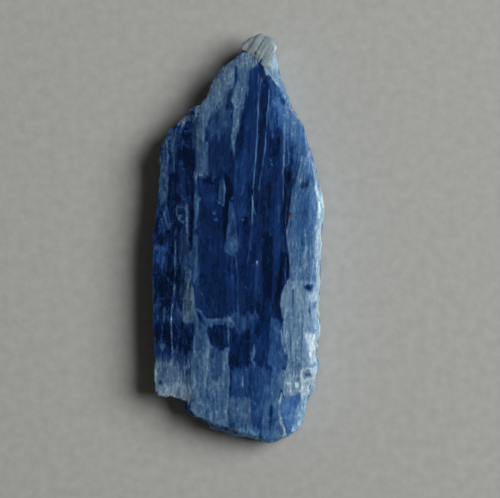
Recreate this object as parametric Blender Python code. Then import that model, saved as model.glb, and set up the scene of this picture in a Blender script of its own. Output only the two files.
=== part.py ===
"""Kyanite blade cluster: a flat bundle of blue kyanite blades, grown together side by side and broken
at both ends. It lies on its back, with a grain of its matrix still held on a ledge at the tip.

Frame: the origin is the middle of the bounding box's base. +Y runs along the blades to the tip, +X runs
across them, and +Z is up from the surface that the specimen rests on. Numbers are millimetres.
"""

import math
import random
from typing import NamedTuple

import bmesh
import bpy
from mathutils import Matrix, Vector

# Driving dimensions. The others are drawn for this length, and follow it if it is changed.
LENGTH = 45.2  # from the grain's top to the broken foot
DRAWN_LENGTH = 45.2
METRES = 0.001 * LENGTH / DRAWN_LENGTH
CENTRE_X = 0.07  # of the finished specimen, in the frame that the outlines are drawn in

TOP = 4.2  # height of the broad face at the middle of the specimen
LEDGE = 2.0  # height of the foot layer, which shows as a ledge at both ends
UNDERSIDE = 0.3  # height of the rough underside, between the lamellae that it rests on
FACE_LEAN = 9.0  # degrees by which the long side faces lean, as the crystal's angles make them
RIM_BEVEL = 0.3  # width of the worn bevel along the broad face's edges
SEAM_BEVEL = 0.07  # and along the edges of each blade's top face
STEP_BEVEL = 0.2
LEDGE_BEVEL = 0.15
UNDER_BEVEL = 0.4
SEAM_OVERLAP = 0.1  # how far a blade runs into its neighbour, so that they join
GRAIN_GAP = 0.25  # clearance between the grain and the ledge that it sits on
OVERSHOOT = 2.0  # how far a blade or a cutter runs past what trims it

# The broad face's outline, clockwise from the tip, at the height TOP.
CROWN = [
    (0.7, 20.4), (1.8, 20.2), (2.6, 18.9), (3.3, 18.0), (4.1, 17.1), (4.9, 16.1), (5.2, 15.2),
    (5.9, 14.2), (6.6, 13.3), (7.1, 12.5), (7.3, 11.5), (7.5, 10.2), (8.0, 9.1), (8.4, 8.0),
    (8.7, 6.5), (8.9, 4.8), (9.0, 2.6), (9.0, -0.2), (8.9, -3.5), (8.8, -6.8), (8.7, -10.1),
    (8.6, -13.4), (8.5, -15.0), (8.2, -16.2), (7.8, -17.3), (7.4, -18.6), (6.9, -20.0),
    (6.2, -21.1), (5.3, -21.8), (4.1, -22.1), (3.1, -22.0), (2.1, -21.6), (1.3, -21.2),
    (0.2, -21.0), (-1.2, -20.6), (-2.5, -20.2), (-3.6, -19.9), (-4.5, -19.2), (-5.1, -18.6),
    (-5.3, -18.0), (-6.0, -17.7), (-7.3, -17.4), (-8.4, -17.2), (-9.0, -16.7), (-9.1, -15.8),
    (-9.0, -14.2), (-9.2, -11.7), (-9.3, -8.4), (-9.4, -5.1), (-9.4, -2.6), (-9.2, 0.4),
    (-8.9, 3.4), (-8.6, 6.4), (-8.6, 8.6), (-8.4, 10.2), (-7.8, 11.4), (-6.9, 12.6),
    (-5.9, 13.6), (-4.9, 14.5), (-4.0, 14.8), (-3.5, 15.9), (-3.1, 16.7), (-2.6, 17.7),
    (-1.8, 18.8), (-0.8, 19.5), (0.1, 20.1),
]  # fmt: skip

# The foot layer's outline, clockwise from the tip, at the height of the ledge. It stands proud of the
# broad face at the tip, down the right side and along the broken foot, and falls short of it on the left.
FOOT = [
    (0.4, 21.1), (1.5, 21.9), (2.8, 22.3), (3.6, 21.7), (4.1, 20.7), (4.5, 19.4), (4.9, 17.7),
    (5.6, 15.8), (6.3, 14.1), (7.2, 12.7), (7.6, 10.8), (8.2, 9.0), (8.8, 7.3), (9.1, 5.1),
    (9.2, 2.9), (9.2, -0.2), (9.1, -5.7), (9.0, -10.1), (8.9, -14.2), (8.5, -16.3),
    (7.9, -18.5), (7.3, -20.2), (6.5, -21.5), (5.3, -22.2), (3.7, -22.6), (2.1, -22.3),
    (0.8, -21.8), (-1.2, -21.3), (-2.9, -20.7), (-4.5, -19.7), (-5.3, -18.9), (-5.6, -18.1),
    (-7.1, -17.4), (-8.4, -17.1), (-8.8, -15.6), (-8.9, -11.7), (-9.2, -6.8), (-9.2, -2.6),
    (-8.8, 1.5), (-8.5, 5.9), (-8.3, 9.5), (-7.4, 11.3), (-5.8, 13.1), (-4.3, 14.4),
    (-3.5, 15.2), (-2.9, 16.6), (-1.8, 18.3), (-0.6, 19.6),
]  # fmt: skip

# A step between the foot layer and the broad face, along the broken foot.
STEP = 2.95
STEP_OUTLINE = [
    (2.0, -11.0), (7.6, -13.0), (8.3, -15.1), (8.1, -16.6), (7.6, -18.4), (7.0, -20.1),
    (6.2, -21.3), (5.1, -22.0), (3.6, -22.3), (2.2, -22.0), (1.2, -21.5), (-1.1, -21.05),
    (-2.7, -20.4), (-4.2, -19.5), (-5.0, -18.7), (-5.2, -17.9), (-4.4, -13.0),
]  # fmt: skip

# Seams between neighbouring blades, each a line along the grain from the tip to the foot.
SEAMS = {
    "left side": [(-10.5, 24.0), (-10.5, -24.0)],
    "left": [(-6.4, 14.1), (-6.7, 9.7), (-6.8, 1.5), (-7.0, -6.8), (-7.1, -18.3)],
    "centre left": [
        (-3.9, 15.8), (-4.1, 11.9), (-4.3, 8.1), (-4.6, 4.2), (-4.8, -0.2), (-5.1, -5.7),
        (-5.0, -11.2), (-5.2, -18.9),
    ],
    "middle": [
        (1.0, 21.3), (0.8, 17.4), (0.6, 13.0), (0.1, 9.7), (-0.4, 5.9), (-0.9, -0.2),
        (-1.2, -6.8), (-0.9, -12.3), (-0.9, -21.1),
    ],
    "centre": [
        (2.6, 20.7), (2.5, 17.4), (2.3, 11.9), (1.8, 5.3), (1.5, -1.3), (1.2, -5.7),
        (1.2, -11.2), (1.5, -22.2),
    ],
    "centre right": [
        (4.9, 16.9), (5.1, 11.9), (5.2, 8.1), (5.0, 2.0), (4.6, -4.6), (3.9, -13.4), (3.2, -22.7),
    ],
    "right": [
        (7.9, 11.9), (7.3, 9.7), (6.7, 7.0), (6.1, 3.7), (5.8, 0.4), (5.8, -4.8), (4.9, -5.2),
        (4.8, -7.3), (5.0, -10.1), (5.4, -12.3), (5.4, -13.6), (4.6, -15.3), (4.7, -18.9),
        (5.3, -23.0),
    ],
    "right side": [(11.0, 24.0), (11.0, -24.0)],
}  # fmt: skip


class Blade(NamedTuple):
    """A blade between two seams. tip and foot are the Y of its ends at its left and right seams."""

    left: str
    right: str
    tip: tuple
    foot: tuple
    height: float  # of its top face at its middle
    across: float = 0.0  # rise of its top face for each millimetre of +X
    along: float = 0.0  # and for each millimetre of +Y


# The heels are where the uppermost lamellae have broken away and the blades go on a little lower.
BLADES = {
    "left rim": Blade("left side", "left", (17, 17), (-12.4, -13.0), 3.70, 0.05),
    "left": Blade("left", "centre left", (17, 17), (-13.2, -12.6), 3.86, 0.02, 0.004),
    "left heel": Blade("left side", "centre left", (-12.0, -12.2), (-20, -20), 3.72, 0.02, 0.02),
    "centre left": Blade("centre left", "middle", (23, 23), (-8.6, -9.0), 4.08, -0.01),
    "centre left heel": Blade("centre left", "middle", (-8.2, -8.4), (-23, -23), 3.94, 0.0, 0.01),
    "middle": Blade("middle", "centre", (23, 23), (-9.2, -9.6), 4.04, 0.02, 0.003),
    "middle heel": Blade("middle", "centre", (-9.0, -9.2), (-24, -24), 3.94, -0.02, 0.01),
    "centre": Blade("centre", "centre right", (23, 23), (-24, -24), 4.12, -0.02, 0.006),
    "centre right": Blade("centre right", "right", (20, 20), (-24, -24), 3.96, -0.03, 0.004),
    "right": Blade("right", "right side", (13.5, 13.5), (-5.3, -5.6), 4.02, -0.08),
    "right low": Blade("right", "right side", (-5.0, -5.2), (-16.4, -16.8), 3.94, -0.05),
    "right heel": Blade("right", "right side", (-16.2, -16.2), (-24, -24), 3.72, -0.10, 0.04),
}


class Chip(NamedTuple):
    """A flat break: point is on it, normal points out of the specimen, and it is width by length."""

    point: tuple
    normal: tuple
    width: float
    length: float
    turn: float = 0.0  # degrees anticlockwise from +X to its width


CHIPS = {
    "left shoulder": Chip((-6.5, 11.5, 3.55), (-0.24, 0.28, 0.93), 5.2, 4.0, 42),
    "tip left": Chip((-1.6, 17.6, 4.0), (-0.26, 0.18, 0.95), 5.4, 2.8, 56),
    "shoulder right": Chip((7.0, 11.4, 3.65), (0.34, 0.16, 0.93), 10.0, 2.2, -66),
    "rim right": Chip((8.75, 1.5, 3.72), (0.66, 0.02, 0.75), 9.5, 2.0, -88),
    "rim right low": Chip((8.65, -6.6, 3.68), (0.60, -0.02, 0.80), 6.6, 2.0, -91),
    "cleavage glint": Chip((8.1, -12.0, 3.74), (0.36, 0.02, 0.93), 3.7, 1.9, -92),
    "foot": Chip((2.2, -20.9, 3.62), (0.06, -0.30, 0.95), 8.0, 3.0, 0),
    "left heel": Chip((-7.2, -17.0, 3.5), (-0.08, -0.45, 0.89), 5.4, 1.4, -4),
}


class Hollow(NamedTuple):
    """A shallow step down where a flake has gone: an outline cut down to a flat floor."""

    floor: float
    outline: list


HOLLOWS = {
    "long flake": Hollow(
        4.0,
        [
            (-4.0, 6.9), (-2.1, 6.7), (-0.9, 6.2), (-0.8, 3.7), (-1.3, -1.3), (-1.2, -8.5),
            (-3.4, -8.7), (-4.0, -7.6), (-4.2, -3.5), (-4.1, 1.5),
        ],
    ),
    "dark cleft": Hollow(
        3.72,
        [
            (2.7, 17.6), (3.5, 16.8), (3.2, 11.9), (2.8, 7.5), (2.3, 3.7), (1.7, 1.8),
            (1.9, 5.3), (2.1, 9.7), (2.4, 14.1),
        ],
    ),
    "right cleft": Hollow(
        3.72,
        [
            (7.0, 8.6), (6.5, 6.6), (6.0, 3.7), (5.7, 0.4), (5.7, -4.6), (5.3, -4.7),
            (5.2, -0.6), (5.6, 4.0), (6.2, 7.4),
        ],
    ),
    "left cleft": Hollow(
        3.72,
        [(-4.5, 11.2), (-4.7, 5.0), (-5.1, 0.2), (-5.5, 0.3), (-5.3, 5.5), (-5.2, 11.0)],
    ),
}  # fmt: skip

# Breaks under the ends and along the lower edges, which face down.
UNDER_CHIPS = {
    "tip": Chip((2.6, 21.2, 0.9), (0.10, 0.52, -0.85), 6.0, 4.5, 6),
    "left shoulder": Chip((-7.4, 10.4, 0.8), (-0.42, 0.45, -0.79), 8.0, 3.0, 40),
    "right shoulder": Chip((8.1, 11.4, 0.85), (0.52, 0.30, -0.80), 9.0, 2.6, -62),
    "left side": Chip((-9.0, -9.0, 0.7), (-0.62, 0.0, -0.78), 9.0, 2.2, 91),
    "right side": Chip((9.2, -8.5, 0.8), (0.60, -0.05, -0.80), 7.5, 2.4, 88),
    "foot": Chip((3.6, -21.8, 0.8), (0.05, -0.50, -0.86), 7.5, 3.6, 2),
    "left foot": Chip((-5.4, -18.9, 0.7), (-0.30, -0.45, -0.84), 6.0, 3.0, -28),
}
CHIP_HEIGHT = 4.0  # height of the boxes that cut the chips
# The shell-shaped break at the right of the foot: the middle and the radius of the ball that fits it.
SCOOP_MIDDLE = (10.5, -20.3, 11.0)
SCOOP_RADIUS = 9.0

# Lamellae on the broad face and under it, as slim slats laid along the grain.
TOP_SPLINTERS = 30
TOP_SPLINTER_RISE = (0.05, 0.12)
UNDER_SPLINTERS = 16
UNDER_SPLINTER_BOTTOM = (0.08, 0.24)
SPLINTER_LENGTH = (3.5, 13.0)
SPLINTER_WIDTH = (0.25, 0.65)
SPLINTER_DEPTH = 0.6
PITS = 16
PIT_LENGTH = (1.2, 5.5)
PIT_WIDTH = (0.35, 0.9)
PIT_DEPTH = (0.06, 0.16)
TAPER = (0.35, 0.9, 1.0, 0.8, 0.3)  # their widths from tip to foot, as shares of the full width
SPLINTER_SPAN = (-19.0, 16.0)  # along Y
KEEP_IN = 1.0  # distance that they keep from the long sides
SIDE_SPLINTERS = 18
SIDE_SPLINTER_LENGTH = (6.0, 17.0)
SIDE_SPLINTER_HEIGHT = (0.22, 0.6)
SIDE_SPLINTER_RISE = (0.06, 0.2)
SIDE_SPLINTER_DEPTH = 1.0
SIDE_SPAN = (-15.5, 9.5)  # the straight part of the long sides, along Y
# The lamellae that the specimen rests on: the middle of each, its width and its length.
RESTING = [
    ((-6.6, -4.5), 2.1, 19.0),
    ((-2.9, -0.5), 2.6, 27.0),
    ((0.4, 3.5), 1.7, 30.0),
    ((3.4, -3.0), 2.5, 33.0),
    ((7.0, -4.6), 1.7, 20.0),
]
SEED = 7

# The grain of matrix: the outline that holds it, and the slabs that make its ridges.
GRAIN_OUTLINE = [
    (0.5, 20.75), (0.6, 21.5), (1.4, 22.1), (2.0, 22.4), (2.7, 22.6), (3.2, 22.3), (3.8, 22.1),
    (4.0, 21.6), (4.2, 20.8), (4.0, 20.0), (3.7, 19.0), (3.4, 18.45), (2.85, 19.1), (2.45, 19.7),
    (2.0, 20.4), (1.4, 20.6),
]  # fmt: skip
GRAIN_RIDGES = [  # middle, length, width, height of its top, degrees from +X
    ((1.25, 21.2), 3.2, 1.15, 3.75, 38),
    ((2.05, 21.2), 3.6, 0.95, 4.15, 55),
    ((2.85, 20.9), 4.2, 0.85, 4.4, 61),
    ((3.55, 20.3), 4.6, 0.95, 4.25, 72),
]
RIDGE_BEVEL = 0.32


def x_at(line, y):
    """X of a line at y, where the line's points run from high Y to low Y."""
    for (x0, y0), (x1, y1) in zip(line, line[1:]):
        if y > y0:
            return x0
        if y >= y1:
            return x0 + (x1 - x0) * (y0 - y) / (y0 - y1)
    return line[-1][0]


def side_at(outline, y, side):
    """X where the outline crosses y, on the left (side -1) or the right (side 1)."""
    found = []
    for (x0, y0), (x1, y1) in zip(outline, outline[1:] + outline[:1]):
        if min(y0, y1) <= y < max(y0, y1):
            found.append(x0 + (x1 - x0) * (y - y0) / (y1 - y0))
    return side * max(side * x for x in found)


def spread(first, last, count):
    """Evenly spaced numbers from first to last."""
    return [first + (last - first) * i / (count - 1) for i in range(count)]


def seam_part(line, tip, foot):
    """The part of a seam between two heights of Y, with an end at each."""
    between = [(x, y) for x, y in line if tip > y > foot]
    return [(x_at(line, tip), tip), *between, (x_at(line, foot), foot)]


def blade_outline(blade):
    """Down the blade's left seam and back up its right one, which it passes by the overlap."""
    left = seam_part(SEAMS[blade.left], blade.tip[0], blade.foot[0])
    right = seam_part(SEAMS[blade.right], blade.tip[1], blade.foot[1])
    return left + [(x + SEAM_OVERLAP, y) for x, y in reversed(right)]


def middle_of(outline):
    """Middle of the outline's bounding box."""
    xs, ys = zip(*outline)
    return (min(xs) + max(xs)) / 2, (min(ys) + max(ys)) / 2


def face_height(x, y):
    """Height of the broad face at a point: the top of the blade there."""
    for blade in BLADES.values():
        if x_at(SEAMS[blade.left], y) <= x <= x_at(SEAMS[blade.right], y):
            if max(blade.foot) <= y <= min(blade.tip):
                x0, y0 = middle_of(blade_outline(blade))
                return blade.height + blade.across * (x - x0) + blade.along * (y - y0)
    return min(blade.height for blade in BLADES.values())


def along_grain(x, y, to_y):
    """X reached at to_y by the grain line that passes through (x, y)."""
    lines = sorted(SEAMS.values(), key=lambda line: x_at(line, y))
    for left, right in zip(lines, lines[1:]):
        x0, x1 = x_at(left, y), x_at(right, y)
        if x0 <= x <= x1:
            share = (x - x0) / (x1 - x0)
            return x_at(left, to_y) * (1 - share) + x_at(right, to_y) * share
    return x


def prism(outline, bottom, top, level=None, across=0.0, along=0.0):
    """A closed slab from bottom to top. Its sides follow the crystal's lean, true to the outline at
    level, or stand upright without one. Its top face rises by across and along from its middle."""
    x0, y0 = middle_of(outline)
    lean = 0.0 if level is None else math.tan(math.radians(FACE_LEAN))
    level = level or 0.0
    shape = bmesh.new()
    base = shape.faces.new([shape.verts.new((x, y, bottom)) for x, y in outline])
    raised = bmesh.ops.extrude_face_region(shape, geom=[base])["geom"]
    for vert in raised:
        if isinstance(vert, bmesh.types.BMVert):
            vert.co.z = top + across * (vert.co.x - x0) + along * (vert.co.y - y0)
    for vert in shape.verts:
        vert.co.x += (level - vert.co.z) * lean
    bmesh.ops.recalc_face_normals(shape, faces=shape.faces)
    return shape


def tilted_box(chip):
    """A box that stands on a chip's plane, to cut away all that is above it."""
    normal = Vector(chip.normal).normalized()
    turn = math.radians(chip.turn)
    across = Vector((math.cos(turn), math.sin(turn), 0.0))
    across = (across - across.dot(normal) * normal).normalized()
    axes = Matrix((across, normal.cross(across), normal)).transposed().to_4x4()
    size = Matrix.Diagonal((chip.width, chip.length, CHIP_HEIGHT, 1.0))
    middle = Matrix.Translation(Vector(chip.point) + normal * CHIP_HEIGHT / 2)
    shape = bmesh.new()
    bmesh.ops.create_cube(shape, size=1.0, matrix=middle @ axes @ size)
    return shape


def ball(middle, radius):
    """A sphere, fine enough for the break that it cuts."""
    shape = bmesh.new()
    where = Matrix.Translation(middle)
    bmesh.ops.create_uvsphere(shape, u_segments=48, v_segments=24, radius=radius, matrix=where)
    return shape


def ridge(middle, length, width, top, turn):
    """An upright slab with worn edges, turned by some degrees from +X."""
    shape = bmesh.new()
    matrix = (
        Matrix.Translation((*middle, (top + LEDGE) / 2))
        @ Matrix.Rotation(math.radians(turn), 4, "Z")
        @ Matrix.Diagonal((length, width, top - LEDGE, 1.0))
    )
    bmesh.ops.create_cube(shape, size=1.0, matrix=matrix)
    edges = list(shape.edges)
    bmesh.ops.bevel(shape, geom=edges, offset=RIDGE_BEVEL, segments=2, profile=0.6, affect="EDGES")
    return shape


def worn(shape, width, pick=max):
    """Bevels the edges round the top face by a width, or round the bottom face with pick=min."""
    face = pick(shape.faces, key=lambda each: each.calc_center_median().z)
    bmesh.ops.bevel(shape, geom=list(face.edges), offset=width, affect="EDGES")
    return shape


def grain_outline(chance, lengths, widths):
    """The outline of a slim slat that follows the grain, and the middle of it."""
    length = chance.uniform(*lengths)
    half_width = chance.uniform(*widths) / 2
    y = chance.uniform(SPLINTER_SPAN[0] + length / 2, SPLINTER_SPAN[1] - length / 2)
    ys = spread(y + length / 2, y - length / 2, len(TAPER))
    left = max(side_at(FOOT, at, -1) for at in ys) + KEEP_IN
    right = min(side_at(FOOT, at, 1) for at in ys) - KEEP_IN
    x = chance.uniform(left, right)
    spine = [(along_grain(x, y, at), at, half_width * w) for at, w in zip(ys, TAPER)]
    outline = [(at_x - half, at) for at_x, at, half in spine]
    outline += [(at_x + half, at) for at_x, at, half in reversed(spine)]
    return outline, (x, y)


def top_splinter(chance):
    """A splinter that stands a little proud of the broad face."""
    outline, middle = grain_outline(chance, SPLINTER_LENGTH, SPLINTER_WIDTH)
    top = face_height(*middle) + chance.uniform(*TOP_SPLINTER_RISE)
    return prism(outline, top - SPLINTER_DEPTH, top)


def under_splinter(chance):
    """A splinter that hangs a little below the rough underside."""
    outline, _ = grain_outline(chance, SPLINTER_LENGTH, SPLINTER_WIDTH)
    bottom = chance.uniform(*UNDER_SPLINTER_BOTTOM)
    return prism(outline, bottom, bottom + SPLINTER_DEPTH)


def top_pit(chance):
    """What a lost splinter leaves: a shallow trough in the broad face, to be cut from it."""
    outline, middle = grain_outline(chance, PIT_LENGTH, PIT_WIDTH)
    return prism(outline, face_height(*middle) - chance.uniform(*PIT_DEPTH), TOP + OVERSHOOT)


def side_splinter(chance, side):
    """The edge of a lamella, which stands proud of one of the long sides."""
    length = chance.uniform(*SIDE_SPLINTER_LENGTH)
    height = chance.uniform(*SIDE_SPLINTER_HEIGHT)
    rise = chance.uniform(*SIDE_SPLINTER_RISE)
    foot = chance.uniform(SIDE_SPAN[0], SIDE_SPAN[1] - length)
    bottom = chance.uniform(UNDERSIDE + 0.1, TOP - 0.9 - height)
    outline, level = (CROWN, TOP) if bottom > LEDGE else (FOOT, LEDGE)
    ys = spread(foot, foot + length, 6)
    rises = [0.15 * rise, rise, rise, rise, rise, 0.15 * rise]
    outer = [(side_at(outline, y, side) + side * r, y) for y, r in zip(ys, rises)]
    inner = [(x - side * SIDE_SPLINTER_DEPTH, y) for x, y in outer[::-1]]
    return prism(outer + inner, bottom, bottom + height, level)


def resting_slat(middle, width, length):
    """A lamella under the specimen, flat on the surface that it rests on."""
    x, y = middle
    ends = [(0.5, 0.30), (0.42, 0.5), (-0.36, 0.5), (-0.5, 0.38), (-0.5, -0.34), (-0.4, -0.5)]
    ends += [(0.38, -0.5), (0.5, -0.4)]
    outline = [(x + u * width, y + v * length) for u, v in ends]
    return prism(outline, 0.0, UNDERSIDE + 0.2)


def material(name, colour, roughness):
    """A Principled material."""
    made = bpy.data.materials.new(name)
    made.use_nodes = True
    shader = made.node_tree.nodes["Principled BSDF"]
    shader.inputs["Base Color"].default_value = (*colour, 1.0)
    shader.inputs["Roughness"].default_value = roughness
    shader.inputs["Metallic"].default_value = 0.0
    made.diffuse_color = (*colour, 1.0)
    return made


def place(name, shape, collection):
    """Makes an object of a shape, at the specimen's real size and on its centre line."""
    bmesh.ops.translate(shape, vec=(-CENTRE_X, 0.0, 0.0), verts=shape.verts)
    bmesh.ops.scale(shape, vec=(METRES, METRES, METRES), verts=shape.verts)
    mesh = bpy.data.meshes.new(name)
    shape.to_mesh(mesh)
    shape.free()
    thing = bpy.data.objects.new(name, mesh)
    collection.objects.link(thing)
    return thing


def place_cutters(name, shapes, parent):
    """Puts the shapes that are joined to a body, or cut from it, in a collection of their own."""
    group = bpy.data.collections.new(name)
    parent.children.link(group)
    for number, shape in enumerate(shapes):
        thing = place(f"{name}_{number}", shape, group)
        thing.hide_render = True
        thing.display_type = "WIRE"
    return group


def combine(body, operation, operand):
    """Adds a Boolean modifier to a body, with an object or a whole collection."""
    step = body.modifiers.new(operand.name, "BOOLEAN")
    step.operation = operation
    step.solver = "EXACT"
    if isinstance(operand, bpy.types.Collection):
        step.operand_type = "COLLECTION"
        step.collection = operand
    else:
        step.object = operand


def build_kyanite(parts, cutters):
    """The cluster: blades trimmed to the broad face's outline, on the foot layer, then broken."""
    chance = random.Random(SEED)
    blades = []
    for blade in BLADES.values():
        outline = blade_outline(blade)
        stock = prism(outline, LEDGE - 0.4, blade.height, None, blade.across, blade.along)
        blades.append(worn(stock, SEAM_BEVEL))
    body = place("kyanite", blades[0], parts)
    combine(body, "UNION", place_cutters("blades", blades[1:], cutters))

    crown = worn(prism(CROWN, LEDGE - 0.3, TOP, TOP), RIM_BEVEL)
    combine(body, "INTERSECT", place_cutters("crown", [crown], cutters).objects[0])

    foot = worn(prism(FOOT, UNDERSIDE, LEDGE, LEDGE), LEDGE_BEVEL)
    layers = [worn(foot, UNDER_BEVEL, min)]
    layers.append(worn(prism(STEP_OUTLINE, LEDGE - 0.3, STEP, LEDGE), STEP_BEVEL))
    layers += [resting_slat(*slat) for slat in RESTING]
    layers += [top_splinter(chance) for _ in range(TOP_SPLINTERS)]
    layers += [under_splinter(chance) for _ in range(UNDER_SPLINTERS)]
    layers += [side_splinter(chance, side) for side in (-1, 1) for _ in range(SIDE_SPLINTERS // 2)]
    combine(body, "UNION", place_cutters("layers", layers, cutters))

    breaks = [tilted_box(chip) for chip in (*CHIPS.values(), *UNDER_CHIPS.values())]
    breaks += [prism(hollow.outline, hollow.floor, TOP + OVERSHOOT) for hollow in HOLLOWS.values()]
    breaks += [top_pit(chance) for _ in range(PITS)]
    breaks.append(ball(SCOOP_MIDDLE, SCOOP_RADIUS))
    combine(body, "DIFFERENCE", place_cutters("breaks", breaks, cutters))
    body.data.materials.append(material("kyanite", (0.045, 0.105, 0.24), 0.35))


def build_grain(parts, cutters):
    """The grain of matrix: ridges side by side, within the outline that the ledge leaves it."""
    ridges = [ridge(*sizes) for sizes in GRAIN_RIDGES]
    body = place("matrix_grain", ridges[0], parts)
    combine(body, "UNION", place_cutters("ridges", ridges[1:], cutters))
    seat = prism(GRAIN_OUTLINE, LEDGE + GRAIN_GAP, TOP + OVERSHOOT, TOP)
    combine(body, "INTERSECT", place_cutters("seat", [seat], cutters).objects[0])
    body.data.materials.append(material("matrix_grain", (0.13, 0.17, 0.16), 0.75))


def main():
    for thing in list(bpy.data.objects):
        bpy.data.objects.remove(thing)
    scene = bpy.context.scene.collection
    parts = bpy.data.collections.new("kyanite_blade_cluster")
    cutters = bpy.data.collections.new("cutters")
    scene.children.link(parts)
    scene.children.link(cutters)
    build_kyanite(parts, cutters)
    build_grain(parts, cutters)


main()
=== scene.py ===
"""The looks of the kyanite blade cluster: a fine mesh and a procedural mineral surface on each node."""

import itertools
import math
from typing import NamedTuple

import bmesh
import bpy
import numpy as np
from mathutils import Matrix


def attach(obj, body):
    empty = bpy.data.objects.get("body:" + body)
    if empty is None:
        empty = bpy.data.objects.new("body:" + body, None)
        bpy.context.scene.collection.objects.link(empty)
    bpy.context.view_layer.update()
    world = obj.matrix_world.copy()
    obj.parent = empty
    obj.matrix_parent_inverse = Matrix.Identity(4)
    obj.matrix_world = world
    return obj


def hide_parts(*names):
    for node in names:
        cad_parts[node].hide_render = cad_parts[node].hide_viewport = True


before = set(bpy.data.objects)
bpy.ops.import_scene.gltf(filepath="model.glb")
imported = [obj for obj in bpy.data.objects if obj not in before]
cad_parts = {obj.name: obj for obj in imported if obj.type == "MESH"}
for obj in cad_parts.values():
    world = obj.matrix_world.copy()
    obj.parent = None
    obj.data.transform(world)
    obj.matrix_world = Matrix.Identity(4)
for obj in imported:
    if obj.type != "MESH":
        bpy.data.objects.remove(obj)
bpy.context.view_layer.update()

MM = 0.001
SQUARE = 0.11  # mm; markings are laid out on a plan of such squares, x to the right and y to the foot
PLAN_MIDDLE = (237.1, 238.5)  # the squares over the frame's origin

# ---------------------------------------------------------------- noise


def lattice(i, j, k, seed):
    """A repeatable random number from 0 to 1 for each whole-numbered point: a hash of where it is."""
    h = (
        i.astype(np.int64) * 374761393
        + j.astype(np.int64) * 668265263
        + k.astype(np.int64) * 2147483647
        + seed * 974634777
    ) & 0xFFFFFFFF
    h = ((h ^ (h >> 13)) * 1274126177) & 0xFFFFFFFF
    h = ((h ^ (h >> 16)) * 2246822519) & 0xFFFFFFFF
    h ^= h >> 15
    return h / 4294967295.0


def smooth(x):
    """Smoothstep of a number that runs from 0 to 1."""
    x = np.clip(x, 0, 1)
    return x * x * (3 - 2 * x)


def noise(points, cell, seed):
    """Smooth noise from -1 to 1. cell is the size of its cells along each axis, in millimetres."""
    place = points / np.asarray(cell, float)
    corner = np.floor(place).astype(np.int64)
    part = smooth(place - corner)
    total = np.zeros(len(place))
    for step in itertools.product((0, 1), repeat=3):
        near_x, near_y, near_z = np.where(step, part, 1 - part).T
        total += near_x * near_y * near_z * lattice(*(corner + step).T, seed)
    return total * 2 - 1


def plates(points, cell, seed, edge):
    """Thin plates left by cleavage, with tapering ends: 1 on a plate and 0 off it."""
    return smooth(0.5 + noise(points, cell, seed) / edge)


def layered_plates(points, set_back, *layers):
    """The height of layers of plates over a surface that is set back, in millimetres."""
    return sum(height * plates(points, cell, seed, edge) for height, cell, seed, edge in layers) - set_back


# ---------------------------------------------------------------- markings


class Patch(NamedTuple):
    """A patch of one shade; its lengths are in squares."""

    tone: float  # from 0, near black, to 1, near white
    grey: float  # from 0, pure blue, to 1, grey blue
    cover: float  # how much of what is under it it hides
    soft: float  # width of its edge
    torn: float  # how far its edge is torn, mostly along the grain
    busy: float  # how much fine texture shows on it
    outline: list


class Stroke(NamedTuple):
    """A thin line that tapers to both ends; its lengths are in squares."""

    tone: float
    grey: float
    cover: float
    half_width: float
    points: list


class Fleck(NamedTuple):
    """A small spot; its lengths are in squares."""

    tone: float
    grey: float
    middle: tuple
    radii: tuple


# Lines along the grain, from the tip to the foot, which the fine structure follows.
GRAIN_LINES = [
    [(140, 20), (140, 450)],
    [(178, 110), (175, 150), (173, 240), (172, 300), (172, 405)],
    [(201, 95), (199, 130), (197, 165), (193, 240), (190, 290), (190, 340), (189, 410)],
    [(246, 45), (244, 80), (238, 120), (237, 150), (229, 240), (226, 300), (228, 350), (228, 430)],
    [(260, 50), (259, 80), (257, 130), (253, 190), (250, 240), (248, 290), (248, 340), (250, 440)],
    [(281, 85), (283, 130), (284, 165), (282, 220), (278, 280), (272, 360), (266, 445)],
    [(308, 130), (303, 150), (297, 175), (292, 205), (289, 235), (289, 280), (286, 350), (282, 450)],
    [(336, 20), (336, 450)],
]
GRAIN_HOME = 260  # the row of squares where the distance across the grain is the plain x


class Nudge(NamedTuple):
    """A small move of a shape; its middle and radii are in squares and its push in millimetres."""

    middle: tuple
    radii: tuple
    push: tuple  # along X, Y and Z


# They bring the outline and the grain to where the photo shows them. Each row is a Nudge's values.
OUTLINE_NUDGES = {
    "left corner": ((160, 148), (7, 14), (-0.16, 0.05, 0.0)),
    "crown corner": ((246, 56), (10, 5), (0.0, 0.28, 0.0)),
    "shoulder": ((170, 130), (9, 9), (-0.14, 0.08, 0.0)),
    "upper left": ((206, 94), (6, 11), (0.2, -0.05, 0.0)),
    "upper right": ((309, 142), (7, 12), (0.2, 0.05, 0.0)),
    "right side": ((322, 208), (8, 18), (0.28, 0.0, 0.0)),
    "under corner": ((238, 50), (4, 5), (0.25, -0.1, 0.0)),
    "foot block edge": ((181, 398), (12, 6), (0.0, -0.15, 0.0)),
    "right heel": ((310, 404), (7, 14), (-0.15, 0.0, 0.0)),
    "foot bottom": ((268, 441), (16, 6), (0.0, -0.3, 0.0)),
    "foot corner": ((194, 414), (8, 6), (-0.2, -0.42, 0.0)),
    "ledge left": ((212, 427), (14, 7), (-0.08, -0.48, 0.0)),
    "foot block corner": ((160, 394), (10, 6), (-0.2, -0.15, 0.0)),
    "foot notch": ((188, 408), (5, 6), (-0.3, 0.0, 0.0)),
    "foot ledge": ((238, 434), (20, 7), (0.0, -0.4, 0.6)),
}
GRAIN_NUDGES = {
    "upper left": ((248, 40), (7, 6), (0.0, 0.02, 0.0)),
    "left corner": ((244, 47), (5, 6), (-0.16, 0.02, 0.0)),
    "point": ((267, 67), (5, 5), (0.4, 0.12, 0.0)),
    "right side": ((276, 50), (5, 8), (0.08, 0.0, 0.0)),
}
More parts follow.
